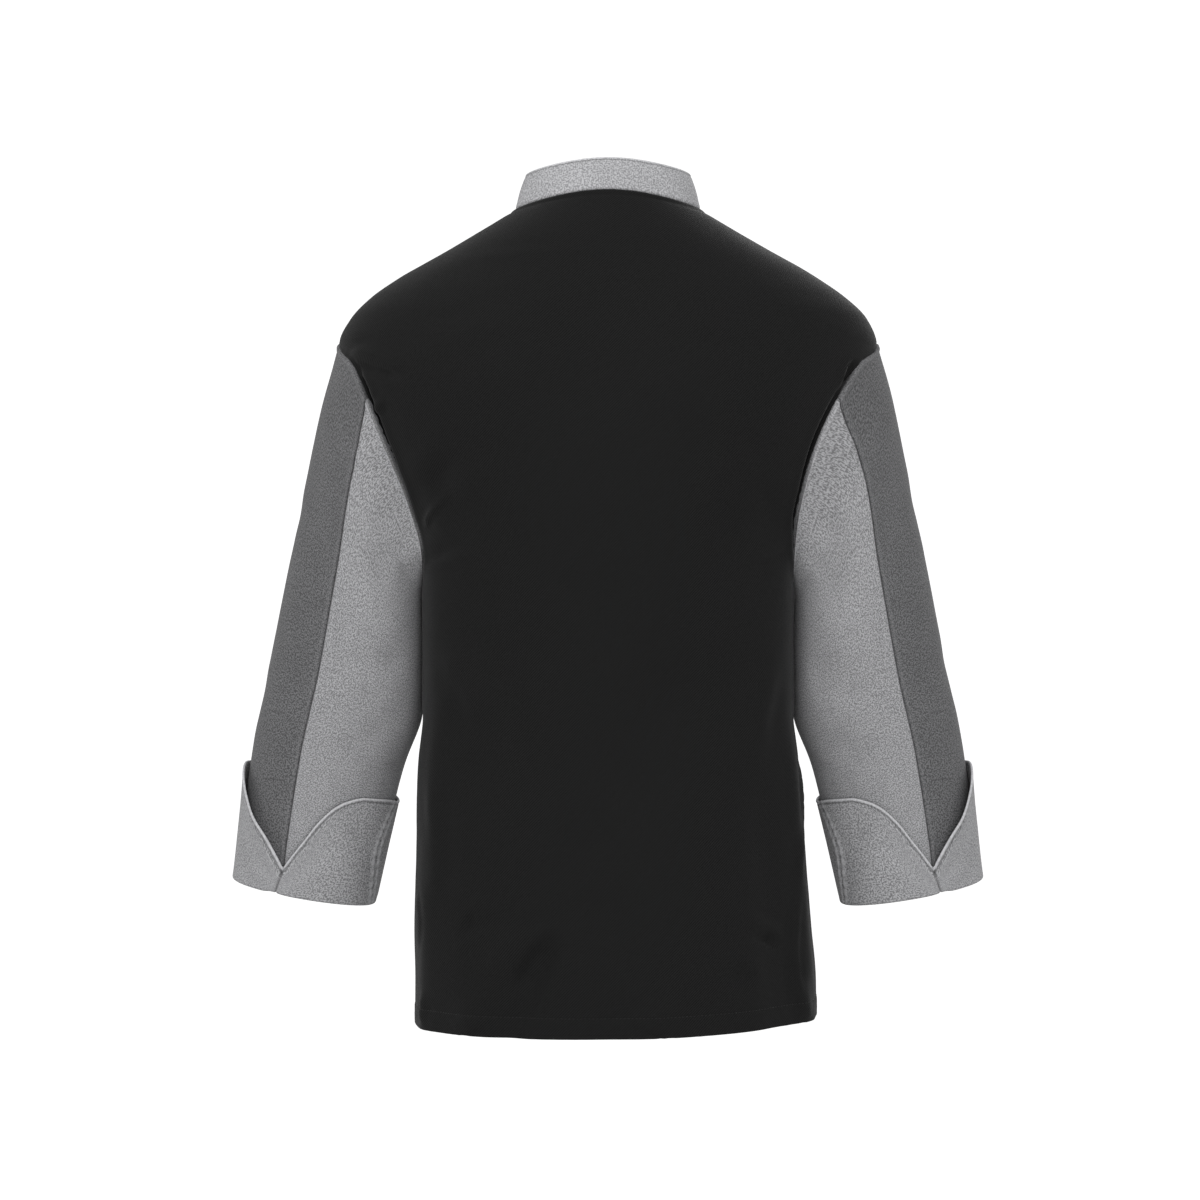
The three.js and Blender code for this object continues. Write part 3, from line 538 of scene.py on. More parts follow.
def section_point(section, turn):
    """A point of one oval section of the sleeve."""
    cosine, sine = np.cos(turn), np.sin(turn)
    return np.stack(
        [
            mix(section["in_x"], section["out_x"], (1 + cosine) / 2),
            section["middle_y"] + section["depth"] * sine,
            mix(section["in_z"], section["out_z"], (1 + cosine) / 2) - section["sag"] * sine,
        ],
        -1,
    )


def sleeve_point(turn, along, side):
    """A point of a sleeve's outer surface, on a smooth curve through the armhole and sections."""
    turn, along = np.broadcast_arrays(wrap(np.asarray(turn, float)), np.asarray(along, float))
    sections = [dict(zip(SECTION_COLUMNS, row)) for row in SLEEVE_SECTIONS]
    stations = np.array([0] + [section["along"] for section in sections])
    points = np.stack([armhole_point(turn, side)] + [section_point(s, turn) for s in sections])
    spacing = np.diff(stations).reshape((-1,) + (1,) * (points.ndim - 1))
    slopes = np.diff(points, axis=0) / spacing
    tangents = gentle_slope(
        np.concatenate([slopes[:1], slopes]), np.concatenate([slopes, slopes[-1:]])
    )
    i = np.clip(np.searchsorted(stations, along, side="left") - 1, 0, len(stations) - 2)
    step = (stations[i + 1] - stations[i])[..., None]
    part = clamp01((along - stations[i])[..., None] / step)

    def pick(values, at):
        return np.take_along_axis(values, at[None, ..., None], 0)[0]

    return hermite(
        part, step, pick(points, i), pick(tangents, i), pick(points, i + 1), pick(tangents, i + 1)
    )


def sleeve_normal(turn, along, side):
    """The sleeve's outward direction at a point."""
    small = 0.01
    around = sleeve_point(turn + small, along, side) - sleeve_point(turn - small, along, side)
    down = sleeve_point(turn, np.minimum(along + small, 1), side)
    down = down - sleeve_point(turn, np.maximum(along - small, 0), side)
    return unit(np.cross(down, around))


# Relief: creases, seams and the cloth's own unevenness, as heights over a grid of points


def nearest_on(points, path):
    """Distance from each point to a path, the place along it from 0 to 1, and the vector to it."""
    away = points[:, None, :] - path[None, :, :]
    distances = np.linalg.norm(away, axis=-1)
    nearest = np.argmin(distances, axis=1)
    picked = np.arange(len(points))
    return distances[picked, nearest], nearest / (len(path) - 1), away[picked, nearest], nearest


def three_point_line(start, middle, end, count=48):
    """Places on a parabola through three places."""
    part = np.linspace(0, 1, count)[:, None]
    start, middle, end = (np.array(place, float) for place in (start, middle, end))
    lever = 2 * middle - (start + end) / 2
    return (1 - part) ** 2 * start + 2 * part * (1 - part) * lever + part**2 * end


def body_path(places, on_back):
    """Points on the body's surface over (x, z) places seen from the back or the front."""
    x, z = places[:, 0], places[:, 1]
    level = z.copy()
    for _ in range(8):
        angle = angle_at_x(level, x, on_back)
        level = np.clip(level - (body_point(angle, level)[:, 2] - z), HEM, 0)
    return body_point(angle, level)


def crease_relief(points, normals, path, width, height, lean, seed):
    """Height of one crease: a ridge or trough that fades at its ends, with a slight answer beside it."""
    flat = points.reshape(-1, 3)
    relief = np.zeros(len(flat))
    reach = 3.6 * width * (1 + abs(lean))
    low, high = path.min(0) - reach, path.max(0) + reach
    near = np.all((flat > low) & (flat < high), axis=1)
    if not near.any():
        return relief.reshape(points.shape[:-1])
    distance, along, away, nearest = nearest_on(flat[near], path)
    tangents = unit(np.gradient(path, axis=0))[nearest]
    side = np.sign(np.sum(np.cross(tangents, away) * normals.reshape(-1, 3)[near], axis=1))
    flank = width * (1 + lean * side)
    profile = bump(distance, flank) - 0.28 * bump(distance - 2 * flank, 0.9 * flank)
    fade = smooth_step(0, 0.3, along) * (1 - smooth_step(0.62, 1, along))
    uneven = 1 + 0.22 * np.sin(7.3 * along + 1.7 * seed) + 0.1 * np.sin(17 * along + seed)
    relief[near] = height * profile * fade * uneven
    return relief.reshape(points.shape[:-1])


def uneven_cloth(points, size, seed):
    """Smooth noise from -1 to 1 over points, with swells about as large as size."""
    table = np.random.RandomState(seed).uniform(-1, 1, 4096)
    place = points / size
    cell = np.floor(place).astype(int)
    part = place - cell
    part = part * part * (3 - 2 * part)
    total = 0
    for corner in np.ndindex(2, 2, 2):
        at = cell + corner
        index = (at[..., 0] * 73 + at[..., 1] * 179 + at[..., 2] * 283) % len(table)
        weight = np.where(np.array(corner), part, 1 - part).prod(-1)
        total = total + weight * table[index]
    return total


def cloth_swells(points, seed):
    broad = uneven_cloth(points, 74, seed)
    middle = uneven_cloth(points, 31, seed + 1)
    fine = uneven_cloth(points, 13, seed + 2)
    return 0.85 * broad + 0.32 * middle + 0.09 * fine


def seam_ditch(distance, depth=0.9, width=1.3, puff=0.25):
    """Cloth dips into a seam and puffs a little beside it."""
    return -depth * bump(distance, width) + puff * bump(distance - 4.2, 2.6)


def puckers(distance, length_along, strength, seed, pitch=9.5):
    """Small gathers that run out from a seam."""
    wander = 1.6 * np.sin(length_along / 31 + seed) + 0.9 * np.sin(length_along / 13.7 + 2 * seed)
    wave = np.sin(2 * np.pi * length_along / pitch + wander)
    loud = 0.55 + 0.45 * np.sin(length_along / 47 + 3 * seed)
    return strength * wave * loud * np.exp(-distance / 5.5) * (1 - np.exp(-distance / 0.8))


def body_relief(points, normals):
    """Relief shared by the back and both fronts."""
    height = cloth_swells(points, 11)
    for seed, (_, side, start, middle, end, width, rise, lean) in enumerate(BODY_CREASES):
        path = body_path(three_point_line(start, middle, end), side == "back")
        height = height + crease_relief(points, normals, path, width, rise, lean, seed)
    x, y, z = points[..., 0], points[..., 1], points[..., 2]
    beside_sleeve = bump(y + 20, 52) * smooth_step(-500, -440, z) * (1 - smooth_step(-330, -300, z))
    height = mix(height, np.minimum(height, 0) * 0.4, clamp01(1.4 * beside_sleeve))
    swell = smooth_step(-462, -436, z) * (1 - smooth_step(-352, -326, z))
    height = height + SIDE_SWELL * bump(y - 10, 13) * swell
    below_neck = body_neck_level(x, y) - z
    height = height * (1 - 0.8 * (1 - smooth_step(4, 30, below_neck)))
    return height + 0.6 * bump(below_neck - 1.6, 1.3) - 0.5 * bump(below_neck - 4.2, 1.3)


def body_neck_level(x, y):
    """Height of the neck seam over a place, by its direction from the middle."""
    sine = y / np.maximum(np.hypot(x, y), 1e-6)
    rise, drop = BODY_RINGS[-1][6:]
    return rise * np.maximum(sine, 0) ** 2 - drop * np.maximum(-sine, 0) ** DROP_POWER


def armhole_relief(points, side, dips):
    """Dip, swell and gathers of the body beside one armhole."""
    turns = np.linspace(-np.pi, np.pi, 361)
    path = armhole_point(turns, side)
    if side == "right":
        path = path * (-1, 1, 1)
    flat = points.reshape(-1, 3)
    relief = np.zeros(len(flat))
    near = np.linalg.norm(flat - path.mean(0), axis=1) < 190
    if near.any():
        distance, _, _, nearest = nearest_on(flat[near], path)
        depth = curve_through(dips)(np.degrees(np.abs(turns[nearest])))
        walked = lengths_along(path)[nearest]
        dip = -depth * bump(distance - 3.7, 2.9) + 0.16 * depth * bump(distance - 10.5, 4.5)
        relief[near] = dip + seam_ditch(distance, 1.0, 1.2, 0.3)
        relief[near] += puckers(distance, walked, 0.5, 2 if side == "left" else 5, 11)
    return relief.reshape(points.shape[:-1])


# Mesh making


def grid_normals(points):
    """Normals of a grid of points, facing away from its middle, and whether the grid faces out."""
    across = np.gradient(points, axis=1)
    down = np.gradient(points, axis=0)
    normals = unit(np.cross(across, down))
    outward = points - points.reshape(-1, 3).mean(0)
    facing = np.sum(normals * outward) > 0
    return (normals if facing else -normals), facing


def grain_map(points):
    """Distances across and along the cloth, in metres, so that a weave keeps its real size."""
    middle = points.shape[1] // 2
    across = np.linalg.norm(np.diff(points, axis=1), axis=-1)
    across = np.concatenate([np.zeros((len(points), 1)), np.cumsum(across, axis=1)], axis=1)
    across = across - across[:, middle : middle + 1]
    along = lengths_along(points[:, middle])[:, None] + 0 * across
    return np.stack([across, along], -1) * MM


def new_object(name, vertices, faces, material):
    """A smooth mesh object from points in millimetres."""
    mesh = bpy.data.meshes.new(name)
    mesh.from_pydata((vertices * MM).tolist(), [], faces)
    mesh.materials.append(material)
    mesh.polygons.foreach_set("use_smooth", np.ones(len(mesh.polygons), bool))
    mesh.update()
    piece = bpy.data.objects.new(name, mesh)
    bpy.context.scene.collection.objects.link(piece)
    return piece


def grid_faces(first, rows, columns, flipped):
    index = first + np.arange(rows * columns).reshape(rows, columns)
    corners = [index[:-1, :-1], index[:-1, 1:], index[1:, 1:], index[1:, :-1]]
    quads = np.stack([corner.ravel() for corner in corners], -1)
    return quads[:, ::-1] if flipped else quads


def border_of(rows, columns):
    """Indices round a grid's border, and of the grid point inside each."""
    index = np.arange(rows * columns).reshape(rows, columns)
    loop = np.r_[index[0, :-1], index[:-1, -1], index[-1, :0:-1], index[:0:-1, 0]]
    row, column = np.divmod(loop, columns)
    inside = np.clip(row, 1, rows - 2) * columns + np.clip(column, 1, columns - 2)
    return loop, inside


def shell(name, outer, wall, material, painted_light_and_shade=0.0):
    """A closed sheet of cloth: a grid of outer points, its wall, and a rounded rim. Its painted tone
    runs from 1, a painted highlight on pressed edges and ridges, to -1, painted shade in seams and dips."""
    rows, columns = outer.shape[:2]
    normals, facing = grid_normals(outer)
    wall = np.broadcast_to(wall, (rows, columns))
    inner = outer - normals * wall[..., None]
    loop, inside = border_of(rows, columns)
    flat_outer, flat_inner = outer.reshape(-1, 3), inner.reshape(-1, 3)
    flat_normals = normals.reshape(-1, 3)[loop]
    way = flat_outer[loop] - flat_outer[inside]
    way = unit(way - np.sum(way * flat_normals, axis=1, keepdims=True) * flat_normals)
    middle = (flat_outer[loop] + flat_inner[loop]) / 2
    half = wall.reshape(-1)[loop][:, None] / 2
    rims = []
    for angle in (np.pi / 4, np.pi / 2, 3 * np.pi / 4):
        rims.append(middle + half * (np.cos(angle) * flat_normals + np.sin(angle) * way))
    count = rows * columns
    faces = [grid_faces(0, rows, columns, not facing), grid_faces(count, rows, columns, facing)]
    rings = [loop] + [2 * count + k * len(loop) + np.arange(len(loop)) for k in range(3)]
    rings.append(count + loop)
    for first, second in zip(rings[:-1], rings[1:]):
        quads = np.stack([first, second, np.roll(second, -1), np.roll(first, -1)], -1)
        faces.append(quads if facing else quads[:, ::-1])
    vertices = np.concatenate([flat_outer, flat_inner] + rims)
    piece = new_object(name, vertices, np.concatenate(faces).tolist(), material)
    order = np.concatenate([np.arange(count), np.arange(count), loop, loop, loop])
    add_grain(piece, grain_map(outer).reshape(-1, 2)[order])
    # Painted light and shade, carried to the materials as a point attribute
    tone = np.broadcast_to(painted_light_and_shade, (rows, columns)).reshape(-1)[order]
    attribute = piece.data.attributes.new("painted_light_and_shade", "FLOAT", "POINT")
    attribute.data.foreach_set("value", tone.astype(np.float32))
    return piece, normals


def add_grain(piece, places):
    """The cloth's own UV map, from each vertex's place in the cloth."""
    layer = piece.data.uv_layers.new(name="grain")
    corners = np.empty(len(piece.data.loops), int)
    piece.data.loops.foreach_get("vertex_index", corners)
    layer.data.foreach_set("uv", places[corners].astype(np.float32).ravel())


# Sewing thread


def stitch_row(line, normals, length=2.5, gap=0.9, thick=0.42):
    """Vertices and faces of a row of lockstitches on a line of points, each stitch a short bead."""
    walked = lengths_along(line)
    count = int((walked[-1] + gap) / (length + gap))
    starts = (length + gap) * np.arange(count)
    ends = starts + length

    def at(places, values):
        return np.stack([np.interp(places, walked, values[:, k]) for k in range(3)], -1)

    first, last = at(starts, line), at(ends, line)
    up = unit(at((starts + ends) / 2, normals))
    forward = unit(last - first)
    side = unit(np.cross(up, forward))
    middle = (first + last) / 2
    places = (-0.5, -0.36, 0, 0.36, 0.5)
    widths = (0.3, 0.85, 1, 0.85, 0.3)
    heights = (-0.75, -0.1, 0.25, -0.1, -0.75)
    sides = 6
    vertices = []
    for place, width, height in zip(places, widths, heights):
        for k in range(sides):
            angle = 2 * np.pi * k / sides
            vertices.append(
                middle
                + forward * place * length
                + side * np.cos(angle) * width * thick / 2
                + up * (np.sin(angle) * width + height) * thick / 2
            )
    vertices = np.stack(vertices, 1)
    faces = []
    for ring_index in range(len(places) - 1):
        for k in range(sides):
            a = ring_index * sides + k
            b = ring_index * sides + (k + 1) % sides
            faces.append([a, b, b + sides, a + sides])
    offsets = len(places) * sides * np.arange(count)
    quads = (np.array(faces)[None] + offsets[:, None, None]).reshape(-1, 4).tolist()
    last_ring = (len(places) - 1) * sides
    caps = [list(range(sides))[::-1], list(range(last_ring, last_ring + sides))]
    for offset in offsets:
        quads += [[int(offset) + k for k in cap] for cap in caps]
    return vertices.reshape(-1, 3), quads


def thread_object(name, rows, material):
    """One piece from several rows of stitches."""
    vertices, faces, total = [], [], 0
    for row_vertices, row_faces in rows:
        vertices.append(row_vertices)
        faces += [[total + k for k in face] for face in row_faces]
        total += len(row_vertices)
    return new_object(name, np.concatenate(vertices), faces, material)


# Materials


class Nodes:
    """A node tree with short calls for adding and joining its nodes."""

    def __init__(self, tree):
        self.tree = tree

    def add(self, kind, inputs=None, **settings):
        node = self.tree.nodes.new(kind)
        for name, value in settings.items():
            setattr(node, name, value)
        for key, value in (inputs or {}).items():
            if isinstance(value, bpy.types.NodeSocket):
                self.tree.links.new(value, node.inputs[key])
            else:
                node.inputs[key].default_value = value
        return node

    def maths(self, operation, first, second=0.0, third=0.0):
        node = self.add("ShaderNodeMath", {0: first, 1: second, 2: third}, operation=operation)
        return node.outputs[0]

    def vector_scaled(self, vector, scale):
        node = self.add("ShaderNodeVectorMath", {0: vector, 1: scale}, operation="MULTIPLY")
        return node.outputs[0]

    def noise(self, vector, scale, detail=2.0, roughness=0.5):
        values = {"Vector": vector, "Scale": scale, "Detail": detail, "Roughness": roughness}
        return self.add("ShaderNodeTexNoise", values, noise_dimensions="3D").outputs[0]

    def ranged(self, value, low, high, new_low, new_high):
        values = {0: value, 1: low, 2: high, 3: new_low, 4: new_high}
        return self.add("ShaderNodeMapRange", values, clamp=True).outputs[0]

    def mixed(self, part, first, second, blend="MIX"):
        node = self.add("ShaderNodeMix", data_type="RGBA", blend_type=blend)
        for index, value in ((0, part), (6, first), (7, second)):
            if isinstance(value, bpy.types.NodeSocket):
                self.tree.links.new(value, node.inputs[index])
            else:
                node.inputs[index].default_value = value
        return node.outputs[2]


def new_group(name, inputs, outputs):
    """An empty shader group with named sockets."""
    tree = bpy.data.node_groups.new(name, "ShaderNodeTree")
    for socket, kind, value in inputs:
        made = tree.interface.new_socket(socket, in_out="INPUT", socket_type=kind)
        if value is not None:
            made.default_value = value
    for socket, kind in outputs:
        tree.interface.new_socket(socket, in_out="OUTPUT", socket_type=kind)
    nodes = Nodes(tree)
    return tree, nodes, nodes.add("NodeGroupInput"), nodes.add("NodeGroupOutput")


def plain_weave_group():
    """Threads that go over and under each other, as a height."""
    tree, nodes, given, result = new_group(
        "plain weave",
        [("Vector", "NodeSocketVector", None), ("Threads", "NodeSocketFloat", 2200.0)],
        [("Height", "NodeSocketFloat")],
    )
    place = nodes.add("ShaderNodeSeparateXYZ", {0: given.outputs["Vector"]})
    waves = []
    for axis in (0, 1):
        turn = nodes.maths("MULTIPLY", place.outputs[axis], given.outputs["Threads"])
        waves.append(nodes.maths("SINE", nodes.maths("MULTIPLY", turn, math.pi)))
    height = nodes.maths("MULTIPLY_ADD", nodes.maths("MULTIPLY", *waves), 0.5, 0.5)
    tree.links.new(height, result.inputs["Height"])
    return tree


def twill_group():
    """Fine slanting ribs, a little uneven, as a height."""
    tree, nodes, given, result = new_group(
        "twill",
        [("Vector", "NodeSocketVector", None), ("Ribs", "NodeSocketFloat", 400.0)],
        [("Height", "NodeSocketFloat"), ("Unevenness", "NodeSocketFloat")],
    )
    vector = given.outputs["Vector"]
    place = nodes.add("ShaderNodeSeparateXYZ", {0: vector})
    slant = nodes.maths("SUBTRACT", place.outputs[0], place.outputs[1])
    turn = nodes.maths("MULTIPLY", slant, given.outputs["Ribs"])
    wander = nodes.noise(vector, 900.0, 2.0)
    turn = nodes.maths("ADD", turn, nodes.maths("MULTIPLY", wander, 0.5))
    rib = nodes.maths("SINE", nodes.maths("MULTIPLY", turn, 2 * math.pi))
    thread = nodes.maths("SINE", nodes.maths("MULTIPLY", place.outputs[1], 2 * math.pi * 2000))
    height = nodes.maths("MULTIPLY_ADD", rib, 0.4, 0.5)
    height = nodes.maths("ADD", height, nodes.maths("MULTIPLY", thread, 0.1))
    tree.links.new(height, result.inputs["Height"])
    tree.links.new(nodes.noise(vector, 330.0, 3.0, 0.6), result.inputs["Unevenness"])
    return tree


def heather_group():
    """Pale and dark fibres spun together, with short streaks along both sets of threads."""
    tree, nodes, given, result = new_group(
        "heather",
        [("Vector", "NodeSocketVector", None), ("Flecks", "NodeSocketFloat", 1350.0)],
        [("Fleck", "NodeSocketFloat"), ("Slub", "NodeSocketFloat")],
    )
    vector, size = given.outputs["Vector"], given.outputs["Flecks"]
    lengthwise = nodes.noise(nodes.vector_scaled(vector, (1, 0.5, 1)), size, 1.0, 0.5)
    crosswise = nodes.noise(nodes.vector_scaled(vector, (0.5, 1, 1)), size, 1.0, 0.5)
    fleck = nodes.maths("MULTIPLY_ADD", nodes.maths("ADD", lengthwise, crosswise), 5.5, -5.0)
    long_slub = nodes.noise(nodes.vector_scaled(vector, (1, 0.09, 1)), 420.0, 1.0, 0.4)
    cross_slub = nodes.noise(nodes.vector_scaled(vector, (0.09, 1, 1)), 420.0, 1.0, 0.4)
    slub = nodes.maths("MAXIMUM", long_slub, cross_slub)
    tree.links.new(nodes.maths("MAXIMUM", nodes.maths("MINIMUM", fleck, 1.0), 0.0), result.inputs["Fleck"])
    tree.links.new(nodes.ranged(slub, 0.6, 0.8, 0.0, 1.0), result.inputs["Slub"])
    return tree


GROUPS = {"weave": plain_weave_group(), "twill": twill_group(), "heather": heather_group()}


def new_material(name, roughness, sheen, sheen_roughness=0.4):
    material = bpy.data.materials.new(name)
    material.use_nodes = True
    material.node_tree.nodes.clear()
    nodes = Nodes(material.node_tree)
    shader = nodes.add("ShaderNodeBsdfPrincipled")
    shader.inputs["Roughness"].default_value = roughness
    shader.inputs["Sheen Weight"].default_value = sheen
    shader.inputs["Sheen Roughness"].default_value = sheen_roughness
    shader.inputs["Specular IOR Level"].default_value = 0.25
    output = nodes.add("ShaderNodeOutputMaterial", {"Surface": shader.outputs[0]})
    output.is_active_output = True
    return material, nodes, shader


def grey(level, tint=(1, 1, 1)):
    return (level * tint[0], level * tint[1], level * tint[2], 1)


def heather_cloth(name, dark, pale, flecks):
    """Grey melange plain weave, with a painted highlight along pressed edges and ridges, and painted shade
    in its seams.
    """
    tint = (1, 1, 1.03)
    material, nodes, shader = new_material(name, 0.88, 0.1)
    grain = nodes.add("ShaderNodeUVMap", uv_map="grain").outputs[0]
    heather = nodes.add("ShaderNodeGroup", node_tree=GROUPS["heather"])
    nodes.tree.links.new(grain, heather.inputs["Vector"])
    heather.inputs["Flecks"].default_value = flecks
    weave = nodes.add("ShaderNodeGroup", node_tree=GROUPS["weave"])
    nodes.tree.links.new(grain, weave.inputs["Vector"])
    cloth = nodes.mixed(heather.outputs["Fleck"], grey(dark, tint), grey(pale, tint))
    slub = nodes.maths("MULTIPLY", heather.outputs["Slub"], 0.35)
    cloth = nodes.mixed(slub, cloth, grey(dark * 0.7, tint))
    broad = nodes.ranged(nodes.noise(grain, 26.0, 2.0), 0.3, 0.7, 0.94, 1.06)
    shade = nodes.add("ShaderNodeCombineColor", {0: broad, 1: broad, 2: broad}).outputs[0]
    cloth = nodes.mixed(1.0, cloth, shade, "MULTIPLY")
    # Where the painted tone is above 0 the colour is lifted towards a painted highlight; below 0 it sinks
    # towards painted shade.
    edge = nodes.add("ShaderNodeAttribute", attribute_name="painted_light_and_shade").outputs["Fac"]
    cloth = nodes.mixed(nodes.ranged(edge, 0.0, 1.0, 0.0, 0.6), cloth, grey(pale * 1.45, tint))
    cloth = nodes.mixed(nodes.ranged(edge, -1.0, 0.0, 0.75, 0.0), cloth, grey(dark * 0.25, tint))
    nodes.tree.links.new(cloth, shader.inputs["Base Color"])
    height = nodes.maths("MULTIPLY_ADD", heather.outputs["Fleck"], 0.5, weave.outputs["Height"])
    relief = nodes.add("ShaderNodeBump", {"Height": height, "Strength": 0.5, "Distance": 0.00018})
    nodes.tree.links.new(relief.outputs[0], shader.inputs["Normal"])
    return material


def black_cloth(name):
    """Black twill with a soft sheen at grazing angles."""
    material, nodes, shader = new_material(name, 0.8, 0.1, 0.35)
    grain = nodes.add("ShaderNodeUVMap", uv_map="grain").outputs[0]
    twill = nodes.add("ShaderNodeGroup", node_tree=GROUPS["twill"])
    nodes.tree.links.new(grain, twill.inputs["Vector"])
    cloth = nodes.mixed(twill.outputs["Height"], grey(0.002), grey(0.0135))
    uneven = nodes.ranged(twill.outputs["Unevenness"], 0.3, 0.7, 0.0, 1.0)
    cloth = nodes.mixed(nodes.maths("MULTIPLY", uneven, 0.35), cloth, grey(0.012))
    # Painted shade: where the painted tone falls towards -1 in the deep armhole dips, the colour turns
    # almost black and the specular and sheen fade out.
    edge = nodes.add("ShaderNodeAttribute", attribute_name="painted_light_and_shade").outputs["Fac"]
    clear_of_painted_shade = nodes.ranged(edge, -1.0, 0.0, 0.0, 1.0)
    cloth = nodes.mixed(clear_of_painted_shade, grey(0.0005), cloth)
    gloss = nodes.maths("MULTIPLY", clear_of_painted_shade, 0.14)
    nodes.tree.links.new(gloss, shader.inputs["Specular IOR Level"])
    nodes.tree.links.new(nodes.maths("MULTIPLY", clear_of_painted_shade, 0.1), shader.inputs["Sheen Weight"])
    nodes.tree.links.new(cloth, shader.inputs["Base Color"])
    rough = nodes.ranged(twill.outputs["Height"], 0.0, 1.0, 0.86, 0.74)
    nodes.tree.links.new(rough, shader.inputs["Roughness"])
    relief = nodes.add(
        "ShaderNodeBump",
        {"Height": twill.outputs["Height"], "Strength": 0.6, "Distance": 0.0004},
    )
    nodes.tree.links.new(relief.outputs[0], shader.inputs["Normal"])
    return material


def thread_cloth(name, level):
    """Twisted sewing thread."""
    material, nodes, shader = new_material(name, 0.6, 0.2)
    place = nodes.add("ShaderNodeTexCoord").outputs["Object"]
    fibre = nodes.noise(nodes.vector_scaled(place, (1, 1, 0.4)), 2600.0, 2.0)
    colour = nodes.mixed(fibre, grey(level * 0.7), grey(level * 1.3))
    nodes.tree.links.new(colour, shader.inputs["Base Color"])
    relief = nodes.add("ShaderNodeBump", {"Height": fibre, "Strength": 0.4, "Distance": 0.0001})
    nodes.tree.links.new(relief.outputs[0], shader.inputs["Normal"])
    return material


def button_plastic(name):
    """Dark moulded plastic with faint tooling marks and fine scuffs."""
    material, nodes, shader = new_material(name, 0.35, 0.0)
    shader.inputs["Specular IOR Level"].default_value = 0.5
    place = nodes.add("ShaderNodeTexCoord").outputs["Object"]
    cloud = nodes.noise(place, 240.0, 3.0)
    colour = nodes.mixed(cloud, grey(0.009), grey(0.018))
    nodes.tree.links.new(colour, shader.inputs["Base Color"])
    scuffs = nodes.noise(place, 1400.0, 4.0, 0.7)
    nodes.tree.links.new(nodes.ranged(scuffs, 0.3, 0.7, 0.28, 0.45), shader.inputs["Roughness"])
    relief = nodes.add("ShaderNodeBump", {"Height": scuffs, "Strength": 0.15, "Distance": 0.00005})
    nodes.tree.links.new(relief.outputs[0], shader.inputs["Normal"])
    return material


black_twill = black_cloth("black_twill_cloth")
dark_grey = heather_cloth("dark_grey_cloth", 0.07, 0.18, flecks=1000)
light_grey = heather_cloth("light_grey_cloth", 0.19, 0.43, flecks=1380)
cuff_grey = heather_cloth("cuff_cloth", 0.21, 0.485, flecks=930)
collar_grey = heather_cloth("collar_cloth_grey", 0.28, 0.53, flecks=960)
black_thread = thread_cloth("black_thread", 0.013)
grey_thread = thread_cloth("grey_thread", 0.3)
button_black = button_plastic("button_plastic")


# Cutting the pieces: every piece is tied to the node that it stands for


def sewn(piece, node):
    """The piece rides on the jacket and stands for its CAD node."""
    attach(piece, "root")
    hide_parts(node)


def trim(piece):
    """A small piece of thread or a button, which rides on the jacket."""
    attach(piece, "root")


def body_levels():
    """Heights of the body's rows: fine by the hem, even round the armhole, then over the shoulder."""
    stitched = (HEM_TURN, HEM_TURN + 1.6)
    low = HEM + edge_spaced(UNDERARM - HEM, True, False, stitched, BODY_STEP)
    turns = np.linspace(np.pi, 0, 721)
    walked = lengths_along(armhole_point(turns, "left"))
    places = edge_spaced(walked[-1], False, False, spacing=BODY_STEP)
    arm = armhole_level(np.interp(places, walked, np.cos(turns)))
    top = SHOULDER_TIP + edge_spaced(-SHOULDER_TIP, False, False)[1:]
    fine = -np.array(EDGE_STEPS[::-1]) * 0.8
    top = np.r_[top[top < fine[0] - 1], fine]
    return np.r_[low[:-1], arm, top]


LEVELS = body_levels()
IN_ARMHOLE = (LEVELS >= UNDERARM) & (LEVELS <= SHOULDER_TIP)


def side_angle(on_back, on_left):
    """Angle of a side seam, armhole or shoulder seam at every row, and of the plain seam line."""
    seam = angle_at_depth(LEVELS, np.full(len(LEVELS), float(SEAM_Y)), on_left)
    side = "left" if on_left else "right"
    depth = np.where(IN_ARMHOLE, armhole_depth(LEVELS, on_back, side), SEAM_Y)
    edge = angle_at_depth(LEVELS, depth, on_left)
    return edge, seam


def hem_relief(height_above, walked):
    """The turned hem stands a little proud, dips at its stitches and ropes slightly."""
    band = 0.45 * (1 - smooth_step(HEM_TURN - 0.5, HEM_TURN + 1.5, height_above))
    groove = -0.55 * bump(height_above - HEM_TURN, 0.9)
    roping = np.sin(2 * np.pi * (walked + 0.9 * height_above) / 14 + 1.2 * np.sin(walked / 37))
    inside = smooth_step(0, 4, height_above) * (1 - smooth_step(HEM_TURN - 4, HEM_TURN + 6, height_above))
    return band + groove + 0.16 * roping * inside


def finished_body(angles, pressed=0.0):
    """Outer points of a body panel, with all its relief, its wall, and the painted shade of its deep
    armhole dips.
    """
    levels = LEVELS[:, None] + 0 * angles
    base = body_point(angles, levels)
    normals, _ = grid_normals(base)
    height = body_relief(base, normals)
    on_back = np.sin(angles.mean()) > 0
    left_dip = ARMHOLE_DIP_LEFT if on_back else ARMHOLE_DIP_FRONT
    right_dip = ARMHOLE_DIP_RIGHT if on_back else ARMHOLE_DIP_FRONT
    at_armholes = armhole_relief(base, "left", left_dip) + armhole_relief(base, "right", right_dip)
    height = height + at_armholes
    walked = np.cumsum(np.linalg.norm(np.gradient(base, axis=1), axis=-1), axis=1)
    height = height + hem_relief(levels - HEM, walked)
    wall = np.where(levels - HEM < HEM_TURN + 0.8, TURNED_EDGE, CLOTH)
    # The third value is painted shade, darkest where the armhole dips are deepest.
    return base + normals * (height - pressed)[..., None], wall, -clamp01((-at_armholes - 2) / 3)


def seam_distance(angles, seam_angles):
    """Rough distance in the cloth from every grid point to a row's seam angle."""
    levels = LEVELS[:, None] + 0 * angles
    point = body_point(angles, levels)
    return np.abs(angles - seam_angles[:, None]) * np.hypot(point[..., 0], point[..., 1])


